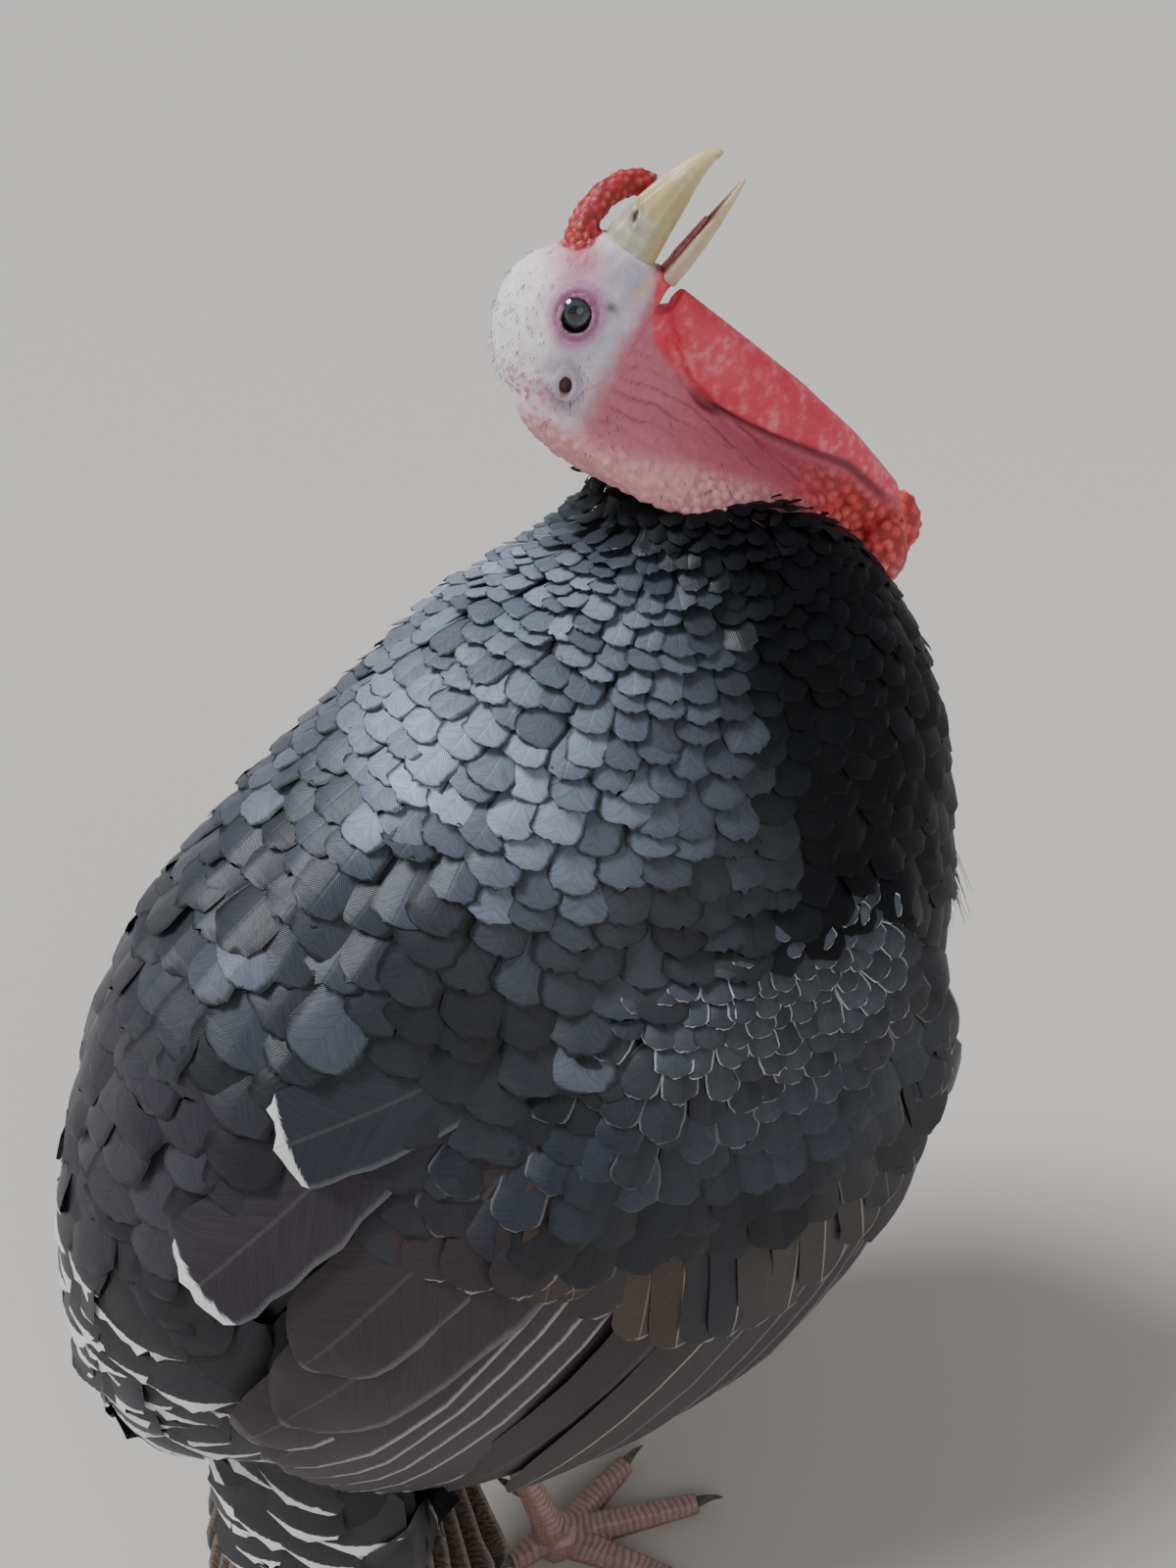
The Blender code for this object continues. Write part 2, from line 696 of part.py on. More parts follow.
def make_leg():
    """Shank, spur, foot and claws of the left leg, by node name without the side."""
    ball_of_foot = Vector((FOOT_X, FOOT_Y, 0.0))
    ankle = ball_of_foot + Vector((-0.006, 0, 0.022))
    foot = None
    for length, turn in TOES.values():
        start = ball_of_foot + toe_direction(turn) * TOE_START
        piece = make_toe("toe", start, turn, length - TOE_START)
        foot = combine(foot, piece, "UNION") if foot else piece
    pad = ball("pad", ball_of_foot + Vector((-0.002, 0, 0.010)), (0.0165, 0.0155, 0.0170), None, 8)
    for vert in pad.data.vertices:
        vert.co.z = max(vert.co.z, 0.0)
    combine(foot, pad, "UNION")
    path = [ankle + (HOCK - ankle) * share for share, _ in SHANK_PATH]
    shank = tube("shank", path, [radius for _, radius in SHANK_PATH], 8)
    root = ankle + (HOCK - ankle) * SPUR_SHARE
    spur_path = [root + SPUR_WAY * d + Vector((0, 0, SPUR_CURVE * d * d)) for d, _ in SPUR_PATH]
    spur = tube("spur", spur_path, [radius for _, radius in SPUR_PATH], 8)
    combine(spur, grown(shank, GAP), "DIFFERENCE")
    combine(foot, grown(shank, GAP), "DIFFERENCE")
    pieces = {"shank": (shank, "leg_scale"), "foot": (foot, "leg_scale"), "spur": (spur, "claw_horn")}
    for toe, (length, turn) in TOES.items():
        claw = make_claw("claw", ball_of_foot, turn, length)
        combine(claw, grown(foot, GAP), "DIFFERENCE")
        pieces["claw_" + toe] = (claw, "claw_horn")
    return pieces


# ---------------------------------------------------------------- assembly
def thin_blade(name, centre, normal, half_size):
    """A thin square plate that parts the body at a place, square to a direction."""
    bm = bmesh.new()
    bmesh.ops.create_cube(bm, size=1.0)
    turn = Vector((0, 0, 1)).rotation_difference(Vector(normal)).to_matrix()
    for vert in bm.verts:
        flat = Vector((vert.co.x * 2 * half_size, vert.co.y * 2 * half_size, vert.co.z * BLADE))
        vert.co = Vector(centre) + turn @ flat
    return new_object(name, bm)


def nearest_names(pieces, spots):
    """Pair each named spot with the piece whose middle is nearest, each piece used once."""
    named = {}
    left = list(pieces)
    for name, spot in spots.items():
        best = min(left, key=lambda p: (centre_of(p) - spot).length)
        left.remove(best)
        named[name] = best
    remove(*left)
    return named


def cut_off(source, centre, normal, half_size):
    """Cut a body in two with a thin blade; returns the piece ahead of the blade and the rest."""
    combine(source, thin_blade("blade", centre, normal, half_size), "DIFFERENCE")
    pieces = islands(source)
    pieces.sort(key=lambda p: (centre_of(p) - Vector(centre)).dot(Vector(normal)))
    remove(*pieces[1:-1])
    return pieces[-1], pieces[0]


WING_COLOURS = {"wing_coverts": "plumage_coverts", "wing_secondaries": "plumage_brown",
                "wing_primaries": "plumage_brown"}


def make_wing(side, word, body, thigh):
    """One folded wing, fitted round the body and parted into coverts, secondaries and primaries."""
    wing = loft("wing", wing_rings(side))
    for neighbour in (body, bpy.data.objects["tail"], thigh):
        combine(wing, grown(neighbour, GAP), "DIFFERENCE")
    depth = (side * 0.01, side * 0.30)
    for line in (COVERT_LINE, PRIMARY_LINE):
        combine(wing, ribbon("wing_cut", line, trunk_point, depth), "DIFFERENCE")
    parts = nearest_names(islands(wing), {
        "wing_coverts": trunk_point(0.06, side * 0.14, 0.02),
        "wing_secondaries": trunk_point(-0.14, side * 0.13, 0.00),
        "wing_primaries": trunk_point(-0.08, side * 0.13, -0.18),
    })
    for name, piece in parts.items():
        finish(piece, name + "_" + word, WING_COLOURS[name])


# The caruncles at the foot of the neck: middle, from the trunk's middle, and radii.
CARUNCLES = {
    "right": ((0.163, -0.021, 0.215), (0.0135, 0.0110, 0.0175)),
    "left": ((0.187, 0.006, 0.215), (0.0140, 0.0110, 0.0175)),
}
# The tuft of the beard on the breast: place from the trunk's middle, then radius.
BEARD_PATH = [
    (0.206, 0.004, 0.062, 0.0090),
    (0.226, 0.005, 0.045, 0.0085),
    (0.243, 0.006, 0.018, 0.0080),
    (0.254, 0.007, -0.014, 0.0060),
    (0.258, 0.008, -0.050, 0.0022),
]
# Where the body is parted into its feathered tracts.
NAPE_CUT, NAPE_NORMAL = (-0.029, 0, -0.0045), Vector((0.334, 0, 0.943))
NECK_CUT, NECK_NORMAL = (0.100, 0, 0.130), (0.52, 0, 0.85)
BREAST_CUT, RUMP_CUT, COVERT_CUT = 0.055, -0.150, 0.028


def stand_on_origin():
    """Hang every part from one empty that puts the middle of the bird's footprint at the origin."""
    parts = list(bpy.data.objects)
    corners = [v.co for part in parts for v in part.data.vertices]
    low = [min(c[axis] for c in corners) for axis in range(3)]
    high = [max(c[axis] for c in corners) for axis in range(3)]
    turkey = bpy.data.objects.new("turkey", None)
    turkey.location = (-(low[0] + high[0]) / 2, -(low[1] + high[1]) / 2, -low[2])
    bpy.context.scene.collection.objects.link(turkey)
    for part in parts:
        part.parent = turkey
    bpy.context.view_layer.update()


def main():
    for old in list(bpy.data.objects):
        bpy.data.objects.remove(old, do_unlink=True)

    body = loft("body", body_rings())
    cushion = loft("cushion", cushion_rings(COVERT_CUSHION, 12))
    combine(body, cushion, "UNION")
    neck = loft("neck", slanted_rings(NECK_ROWS, 2, 14, 0.95, -0.25))
    head = loft("head", head_rings(HEAD_ROWS, 1, 14, 0.92, HEAD_FRAME, 0.08))
    combine(neck, head, "UNION")
    combine(neck, gape_wedge(), "DIFFERENCE")
    combine(body, neck, "UNION")

    thighs = {}
    leg = make_leg()
    for side, word in ((-1, "right"), (1, "left")):
        for name, (piece, surface) in leg.items():
            own = mirrored(piece, name) if side < 0 else piece
            finish(own, name + "_" + word, surface)
        points = [Vector((x, y * side, z)) for x, y, z, r in THIGH_PATH]
        thigh = tube("thigh", points, [r for x, y, z, r in THIGH_PATH], 14)
        combine(thigh, grown(bpy.data.objects["shank_" + word], GAP), "DIFFERENCE")
        combine(thigh, grown(body, GAP), "DIFFERENCE")
        thighs[word] = finish(thigh, "thigh_" + word, "plumage_black")

    tail = make_tail()
    combine(body, grown(tail, GAP), "DIFFERENCE")
    finish(tail, "tail", "plumage_tail")

    dewlap = loft("dewlap", slanted_rings(DEWLAP_ROWS, 1, 12, 0.75, 0.0))
    combine(dewlap, grown(body, GAP), "DIFFERENCE")
    for word, (centre, radii) in CARUNCLES.items():
        lump = lumpy_ball("lump", body_point(*centre), radii)
        combine(lump, grown(dewlap, GAP), "DIFFERENCE")
        combine(lump, grown(body, GAP), "DIFFERENCE")
        finish(lump, "caruncle_" + word, "red_skin")
    finish(dewlap, "dewlap", "red_skin")

    for sign, word in ((1, "left"), (-1, "right")):
        spot = Vector((EYE_SPOT.x, EYE_SPOT.y * sign, EYE_SPOT.z))
        eye = ball("eye_" + word, HEAD_FRAME @ spot, [EYE_RADIUS] * 3, HEAD_FRAME, 10)
        combine(body, grown(eye, GAP * 1.5), "DIFFERENCE")
        spot = Vector((EAR_SPOT.x, EAR_SPOT.y * sign, EAR_SPOT.z))
        ear = ball("ear", HEAD_FRAME @ spot, EAR_SIZE, HEAD_FRAME, 8)
        combine(body, grown(ear, GAP), "DIFFERENCE")
        pit_spot = HEAD_FRAME @ Vector((spot.x + 0.001, spot.y + 0.0026 * sign, spot.z))
        combine(ear, ball("pit", pit_spot, EAR_PIT, HEAD_FRAME, 6), "DIFFERENCE")
        finish(ear, "ear_" + word, "bare_skin")
        finish(eye, "eye_" + word, "eye_dark")

    upper = loft("bill_upper", head_rings(UPPER_BILL_ROWS, 1, 12, 0.85, HEAD_FRAME, 0.25))
    lower = loft("bill_lower", head_rings(LOWER_BILL_ROWS, 1, 12, 0.85, jaw_frame(), -0.3))
    trough = loft("trough", head_rings(TROUGH_ROWS, 1, 10, 0.85, jaw_frame()))
    combine(lower, trough, "DIFFERENCE")
    tongue = loft("tongue", head_rings(TONGUE_ROWS, 1, 8, 0.9, jaw_frame()))
    combine(tongue, grown(lower, GAP), "DIFFERENCE")
    combine(tongue, grown(body, GAP), "DIFFERENCE")
    snood = make_snood()
    combine(snood, grown(body, GAP), "DIFFERENCE")
    combine(snood, grown(upper, GAP), "DIFFERENCE")
    combine(upper, grown(body, GAP), "DIFFERENCE")
    combine(lower, grown(body, GAP), "DIFFERENCE")
    finish(upper, "bill_upper", "bill_horn")
    finish(lower, "bill_lower", "bill_horn")
    finish(tongue, "tongue", "tongue_flesh")
    finish(snood, "snood", "red_skin")

    beard_path = [body_point(x, y, z) for x, y, z, _ in BEARD_PATH]
    beard = tube("beard", beard_path, [radius for _, _, _, radius in BEARD_PATH], 10)
    combine(beard, grown(body, GAP), "DIFFERENCE")
    finish(beard, "beard", "beard_bristle")

    for side, word in ((1, "left"), (-1, "right")):
        make_wing(side, word, body, thighs[word])

    back_x, back_z, front_x, front_z = BODY_ROWS[-1][:4]
    ruff_normal = Vector((back_z - front_z, 0, front_x - back_x)).normalized()
    ruff_middle = body_point((back_x + front_x) / 2, 0, (back_z + front_z) / 2)
    bare, body = cut_off(body, ruff_middle + ruff_normal * BLADE * 1.5, ruff_normal, 0.115)
    head, bare = cut_off(bare, head_point(*NAPE_CUT), HEAD_FRAME.to_3x3() @ NAPE_NORMAL, 0.05)
    neck, body = cut_off(body, body_point(*NECK_CUT), NECK_NORMAL, 0.30)
    along_back = Vector((math.cos(TRUNK_PITCH), 0, math.sin(TRUNK_PITCH)))
    breast, body = cut_off(body, trunk_point(BREAST_CUT, 0, 0), along_back, 0.42)
    trunk, body = cut_off(body, trunk_point(RUMP_CUT, 0, 0), along_back, 0.42)
    level = math.cos(TAIL_DIP[0])
    covert_normal = (level * math.cos(TAIL_YAW), level * math.sin(TAIL_YAW), math.sin(TAIL_DIP[0]))
    rump, coverts = cut_off(body, tail_point(COVERT_CUT, 0, 0.02), covert_normal, 0.30)
    finish(head, "head", "bare_skin")
    finish(bare, "neck_bare", "bare_skin")
    finish(neck, "neck_feathered", "plumage_black")
    finish(breast, "breast", "plumage_black")
    finish(trunk, "trunk", "plumage_black")
    finish(rump, "rump", "plumage_black")
    finish(coverts, "tail_coverts", "plumage_coverts")

    stand_on_origin()


main()
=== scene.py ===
"""Black-plumaged domestic tom turkey: skin, plumage, head, bill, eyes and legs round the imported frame.

Metres, +Z up. The bird faces +X and its left side is +Y. T is the middle of the trunk.
Trunk places are (u, y, w): u runs up the back towards the neck, w square to it, y to the bird's left.
Head places are written from the middle of the gape, with X along the closed bill and Z to the crown.
"""
import math

import bmesh
import bpy
import numpy as np
from mathutils import Matrix, Vector, noise
from mathutils.bvhtree import BVHTree
from mathutils.kdtree import KDTree


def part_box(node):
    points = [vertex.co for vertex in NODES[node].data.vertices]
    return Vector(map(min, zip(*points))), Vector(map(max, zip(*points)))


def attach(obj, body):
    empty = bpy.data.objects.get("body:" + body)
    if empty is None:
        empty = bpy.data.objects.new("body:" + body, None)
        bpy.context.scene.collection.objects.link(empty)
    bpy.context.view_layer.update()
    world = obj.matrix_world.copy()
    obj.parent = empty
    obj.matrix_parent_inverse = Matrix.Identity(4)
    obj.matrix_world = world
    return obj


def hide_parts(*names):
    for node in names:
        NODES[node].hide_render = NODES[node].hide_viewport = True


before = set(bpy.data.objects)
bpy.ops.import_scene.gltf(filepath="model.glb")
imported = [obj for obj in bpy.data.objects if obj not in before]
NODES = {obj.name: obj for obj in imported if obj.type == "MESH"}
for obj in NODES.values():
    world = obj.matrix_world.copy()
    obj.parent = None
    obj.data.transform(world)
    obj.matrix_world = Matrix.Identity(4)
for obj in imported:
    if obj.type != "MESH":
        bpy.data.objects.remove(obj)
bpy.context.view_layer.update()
SCENE = bpy.context.scene

# ---------------------------------------------------------------- frames
PITCH = math.radians(35)
HEAD_TURN = Matrix.Rotation(math.radians(-20), 3, "Z") @ Matrix.Rotation(math.radians(-58), 3, "Y")
GAPE = Vector((0.0385, -0.011, 0.3460))
EYE = Vector((-0.0180, 0.0134, 0.0190))

eye_low, eye_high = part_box("eye_right")
T = (eye_low + eye_high) / 2 - HEAD_TURN @ Vector((EYE.x, -EYE.y, EYE.z)) - GAPE
COS, SIN = math.cos(PITCH), math.sin(PITCH)
TRUNK = np.array([[COS, 0, SIN], [0, 1, 0], [-SIN, 0, COS]])   # rows: u, y, w
TN = np.array(T)
HEAD = np.array(HEAD_TURN)                                     # columns: X, Y, Z of the head
HEAD_AT = TN + np.array(GAPE)


def trunk(points):
    """World places from (u, y, w)."""
    return np.asarray(points, float) @ TRUNK + TN


def to_trunk(points):
    return (np.asarray(points, float) - TN) @ TRUNK.T


def head(points):
    """World places from head places."""
    return np.asarray(points, float) @ HEAD.T + HEAD_AT


def head_cm(points):
    """Head places in centimetres, with the sideways distance always above zero."""
    places = (np.asarray(points, float) - HEAD_AT) @ HEAD * 100
    return places[:, 0], np.abs(places[:, 1]), places[:, 2]


def unit(v):
    return v / np.maximum(np.linalg.norm(v, axis=-1, keepdims=True), 1e-9)


def square_to(way, ups):
    """Unit directions left of way when what points along ups is taken away."""
    return unit(way - ups * (way * ups).sum(-1, keepdims=True))


def smooth(a, b, x):
    """0 before a, 1 past b, with a soft step between."""
    t = np.clip((np.asarray(x, float) - a) / (b - a), 0, 1)
    return t * t * (3 - 2 * t)


# ---------------------------------------------------------------- camera
camera = bpy.data.objects.new("camera", bpy.data.cameras.new("camera"))
SCENE.collection.objects.link(camera)
SCENE.camera = camera
VIEW_TURN, VIEW_DROP = math.radians(-21.5), math.radians(33.7)
camera.data.sensor_width = 36
camera.data.lens = 31.5
camera.data.clip_start = 0.01
camera.location = T + Vector((-0.190, -0.535, 0.487))
view = Vector((-math.sin(VIEW_TURN) * math.cos(VIEW_DROP),
               math.cos(VIEW_TURN) * math.cos(VIEW_DROP), -math.sin(VIEW_DROP)))
camera.rotation_euler = view.to_track_quat("-Z", "Y").to_euler()


# ---------------------------------------------------------------- mesh helpers
def link(name, data):
    made = bpy.data.objects.new(name, data)
    SCENE.collection.objects.link(made)
    return made


def mesh_of(name, bm):
    """A mesh from a bmesh, which is freed."""
    mesh = bpy.data.meshes.new(name)
    bm.to_mesh(mesh)
    bm.free()
    return mesh


def evaluated(thing):
    """Apply all modifiers of an object."""
    bpy.context.view_layer.update()
    graph = bpy.context.evaluated_depsgraph_get()
    mesh = bpy.data.meshes.new_from_object(thing.evaluated_get(graph))
    thing.modifiers.clear()
    old, thing.data = thing.data, mesh
    bpy.data.meshes.remove(old)
    return thing


def closed(thing, voxel):
    """One closed form round all that an object's mesh holds."""
    remesh = thing.modifiers.new("remesh", "REMESH")
    remesh.mode = "VOXEL"
    remesh.voxel_size = voxel
    remesh.use_smooth_shade = True
    return evaluated(thing)


def relax(thing, rounds):
    bm = bmesh.new()
    bm.from_mesh(thing.data)
    for _ in range(rounds):
        bmesh.ops.smooth_vert(bm, verts=bm.verts, factor=0.5, use_axis_x=True, use_axis_y=True,
                              use_axis_z=True)
    bm.to_mesh(thing.data)
    bm.free()
    thing.data.update()


def remeshed(name, nodes, voxel, grow, rounds, extra=None):
    """One closed, smoothed solid round several CAD nodes, and a further bmesh if one is given."""
    parts = [extra] if extra else []
    for node in nodes:
        part = bmesh.new()
        part.from_mesh(NODES[node].data)
        bmesh.ops.remove_doubles(part, verts=part.verts, dist=1e-6)
        part.normal_update()
        for v in part.verts:
            v.co += v.normal * grow
        parts.append(part)
    bm = bmesh.new()
    for part in parts:
        mesh = mesh_of("part", part)
        bm.from_mesh(mesh)
        bpy.data.meshes.remove(mesh)
    made = closed(link(name, mesh_of(name, bm)), voxel)
    relax(made, rounds)
    return made


def read(items, key, width=3, kind=float):
    """Values of a mesh's vertices, triangles or corners, as rows."""
    out = np.empty(len(items) * width, kind)
    items.foreach_get(key, out)
    return out.reshape(-1, width)


def coords(mesh):
    return read(mesh.vertices, "co")


def normals(mesh):
    return read(mesh.vertices, "normal")


def triangles(mesh):
    mesh.calc_loop_triangles()
    return read(mesh.loop_triangles, "vertices", kind=np.int32)


def set_coords(mesh, points):
    mesh.vertices.foreach_set("co", np.ascontiguousarray(points, float).ravel())
    mesh.update()


def swell(mesh, distance):
    """Move the vertices out along their normals."""
    set_coords(mesh, coords(mesh) + normals(mesh) * np.reshape(distance, (-1, 1)))


def tree_of(mesh):
    return BVHTree.FromPolygons(coords(mesh).tolist(), triangles(mesh).tolist())


def distances(tree, points):
    """How far each place is from a surface."""
    return np.array([tree.find_nearest(q)[3] for q in points.tolist()])


def paint(mesh, name, values):
    """A float or colour attribute on the vertices."""
    values = np.asarray(values, np.float32)
    if values.ndim == 1:
        mesh.attributes.new(name, "FLOAT", "POINT").data.foreach_set("value", values)
    else:
        values = np.concatenate([values, np.ones((len(values), 1), np.float32)], 1)
        mesh.attributes.new(name, "FLOAT_COLOR", "POINT").data.foreach_set("color", values.ravel())


def unwrap(mesh, places):
    """The coat's UV map: a place for every vertex, written at every corner."""
    corners = read(mesh.loops, "vertex_index", 1, np.int32)[:, 0]
    layer = mesh.uv_layers.new(name="OFBake")
    layer.data.foreach_set("uv", places.reshape(-1, 2)[corners].astype(np.float32).ravel())


def keep(thing, surface, replaced=()):
    """Finish a piece: material, CAD nodes it stands for, and the body it rides on."""
    thing.data.materials.clear()
    thing.data.materials.append(surface)
    if replaced:
        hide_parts(*replaced)
    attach(thing, "root")


# ---------------------------------------------------------------- node helpers for materials
class Nodes:
    """Short words for building a material's node tree."""

    def __init__(self, name):
        self.material = bpy.data.materials.new(name)
        self.material.use_nodes = True
        self.tree = self.material.node_tree
        self.shader = self.tree.nodes["Principled BSDF"]

    def put(self, socket, value):
        if isinstance(value, bpy.types.NodeSocket):
            self.tree.links.new(value, socket)
        elif isinstance(value, tuple) and socket.type == "RGBA":
            socket.default_value = (*value, 1)
        else:
            socket.default_value = value

    def set(self, **values):
        for key, value in values.items():
            self.put(self.shader.inputs[key.replace("_", " ")], value)

    def node(self, kind, inputs, out=0, **settings):
        """A new node with its inputs and settings; returns one of its outputs."""
        made = self.tree.nodes.new("ShaderNode" + kind)
        for key, value in settings.items():
            setattr(made, key, value)
        for key, value in inputs.items():
            self.put(made.inputs[key], value)
        return made.outputs[out]

    def attribute(self, name, out="Fac"):
        return self.node("Attribute", {}, out, attribute_name=name)

    def math(self, kind, a, b=0.0, clamp=False):
        return self.node("Math", {0: a, 1: b}, operation=kind, use_clamp=clamp)

    def times(self, a, b, clamp=False):
        return self.math("MULTIPLY", a, b, clamp)

    def plus(self, a, b):
        return self.math("ADD", a, b)

    def ramp(self, value, low, high, bottom=0.0, top=1.0):
        inputs = {"Value": value, "From Min": low, "From Max": high, "To Min": bottom, "To Max": top}
        return self.node("MapRange", inputs, "Result", interpolation_type="SMOOTHSTEP")

    def mix(self, factor, a, b, kind="MIX"):
        return self.node("Mix", {"Factor": factor, 6: a, 7: b}, 2, data_type="RGBA", blend_type=kind)

    def darker(self, factor, base, tone):
        """The base multiplied by a tone, as far as the factor says."""
        return self.mix(factor, base, self.mix(1.0, base, tone, "MULTIPLY"))

    def noise(self, scale, detail=2.0, rough=0.5, vector=None):
        inputs = {"Vector": self.place() if vector is None else vector, "Scale": scale, "Detail": detail,
                  "Roughness": rough}
        return self.node("TexNoise", inputs, "Fac")

    def cells(self, scale):
        return self.node("TexVoronoi", {"Vector": self.place(), "Scale": scale}, "Distance")

    def place(self):
        return self.node("TexCoord", {}, "Object")

    def join(self, x, y, z):
        return self.node("CombineXYZ", {0: x, 1: y, 2: z})

    def bump(self, height, strength, distance):
        """Relief on the surface; returns the finished material."""
        inputs = {"Height": height, "Strength": strength, "Distance": distance}
        self.set(Normal=self.node("Bump", inputs))
        return self.material


# ---------------------------------------------------------------- outer form and its tracts
def ring(back, front, half, shift=0.0, grow=1.0, lift=(0.0, 0.0), sides=28):
    """Oval through a back and a front place (x, z from the trunk's middle); lift raises ends and sides."""
    back, front = np.array([back[0], 0, back[1]]), np.array([front[0], 0, front[1]])
    middle, reach = (back + front) / 2, (front - back) / 2
    up = unit(np.array([-reach[2], 0, reach[0]]))
    turn = np.linspace(0, 2 * math.pi, sides, endpoint=False)[:, None]
    wide = np.array([0, 1.0, 0]) * half * grow
    high = lift[0] + (lift[1] - lift[0]) * np.sin(turn) ** 2
    return (TN + middle + reach * grow * np.cos(turn) + wide * np.sin(turn) + up * high
            + np.array([0, shift, 0]))


def hull_of(rings):
    """Closed convex form round the given rings."""
    bm = bmesh.new()
    for p in np.concatenate(rings):
        bm.verts.new(p)
    bmesh.ops.convex_hull(bm, input=bm.verts, use_existing_faces=False)
    loose = [v for v in bm.verts if not v.link_faces]
    bmesh.ops.delete(bm, geom=loose, context="VERTS")
    return bm


RUFF_TOP = ((0.024, 0.268), (0.178, 0.188))
COLLAR = [ring((0.030, 0.245), (0.196, 0.150), 0.066), ring(*RUFF_TOP, 0.0555),
          ring(*RUFF_TOP, 0.0555, -0.003, 0.86, (0.008, 0.012)),
          ring(*RUFF_TOP, 0.0525, -0.003, 0.74, (0.008, 0.023))]
PLUG = [ring((0.052, 0.222), (0.152, 0.176), 0.038, -0.003),
        ring((0.030, 0.258), (0.160, 0.202), 0.037, -0.003)]

WINGS = [kind + side for side in ("_right", "_left")
         for kind in ("wing_coverts", "wing_secondaries", "wing_primaries")]
COVERTS = ["wing_coverts_right", "wing_coverts_left"]
CORE = ["breast", "trunk", "rump", "neck_feathered", "tail_coverts", "thigh_left", "thigh_right"]
BODY_VOXEL, BODY_GROW = 0.005, 0.0005
hull = remeshed("hull", CORE + WINGS, BODY_VOXEL, BODY_GROW, 5, hull_of(COLLAR))
HULL_TREE = tree_of(hull.data)

TRACTS = CORE + WINGS
tract_trees = [tree_of(NODES[name].data) for name in TRACTS]

rng = np.random.default_rng(7)


def srgb(r, g, b):
    c = np.array([r, g, b]) / 255
    return np.where(c < 0.04045, c / 12.92, ((c + 0.055) / 1.055) ** 2.4)


def lay(colour, mask, tone):
    """Colours with a tone laid over them as far as the mask says."""
    return colour + (np.asarray(tone) - colour) * np.clip(mask, 0, 1)[:, None]


def layered(base, layers):
    """Colours of a base tone with (mask, tone) pairs laid over it in turn."""
    colour = srgb(*base)
    for mask, tone in layers:
        colour = lay(colour, mask, srgb(*tone))
    return colour


def surface_cloud(mesh, count, seed):
    """Random places spread evenly over a mesh, with normals."""
    r = np.random.default_rng(seed)
    points, faces = coords(mesh), triangles(mesh)
    a, b, c = points[faces[:, 0]], points[faces[:, 1]], points[faces[:, 2]]
    cross = np.cross(b - a, c - a)
    area = np.linalg.norm(cross, axis=1)
    pick = r.choice(len(faces), count, p=area / area.sum())
    s, t = np.sqrt(r.random(count)), r.random(count)
    spots = (1 - s)[:, None] * a[pick] + (s * (1 - t))[:, None] * b[pick] + (s * t)[:, None] * c[pick]
    return spots, unit(cross[pick])


def tract_names(spots):
    """Name of the CAD node nearest to each place."""
    out = []
    for p in spots.tolist():
        best, which = 0.05, 0
        for k, tree in enumerate(tract_trees):
            hit = tree.find_nearest(p, best)
            if hit[0] is not None and hit[3] < best:
                best, which = hit[3], k
        out.append(TRACTS[which])
    return np.array(out)


def points_tree(points):
    tree = KDTree(len(points))
    for i, p in enumerate(points.tolist()):
        tree.insert(p, i)
    tree.balance()
    return tree


def thinned(spots, spacing, seed):
    """Indices of spots that keep at least their spacing from each other."""
    tree = points_tree(spots)
    spacing = np.broadcast_to(spacing, len(spots))
    free = np.ones(len(spots), bool)
    chosen = []
    for i in np.random.default_rng(seed).permutation(len(spots)):
        if free[i]:
            chosen.append(i)
            for _, j, _ in tree.find_range(spots[i].tolist(), float(spacing[i])):
                free[j] = False
    return np.array(chosen)


def along_surface(spots, way, lengths, steps, tree):
    """Centre lines that run over a surface from each spot; returns places, normals and directions.

    A line goes straight on where the surface turns away from it.
    """
    line = np.empty((len(spots), len(steps), 3))
    up = np.empty_like(line)
    ahead = np.empty_like(line)
    for i, spot in enumerate(spots):
        p = Vector(spot)
        d = Vector(way[i])
        last = 0.0
        n = None
        for k, s in enumerate(steps):
            stride = (s - last) * lengths[i]
            p = p + d * stride
            last = s
            found, facing, _, away = tree.find_nearest(p)
            if n is None or (away < 0.35 * stride + 0.0006 and facing.dot(n) > 0.75):
                p, n = found, facing
                d = d - n * d.dot(n)
                d.normalize()
            line[i, k], up[i, k], ahead[i, k] = p, n, d
    return line, up, ahead


# ---------------------------------------------------------------- vanes
BARB_PITCH = 0.0009
UV_PATCH = 0.003                                               # size of one feather on the UV map
ROW_BAND = 0.0011                                              # half thickness of a row of roots


def coat_place(points):
    """Unwrap of the bird's form: turn round the trunk's axis, and the distance along it."""
    p = to_trunk(points)
    turn = np.arctan2(p[:, 1], p[:, 2]) / (2 * math.pi) + 0.5
    return np.stack([turn * 0.98 + 0.01, 0.5 + p[:, 0] * 0.9], 1)


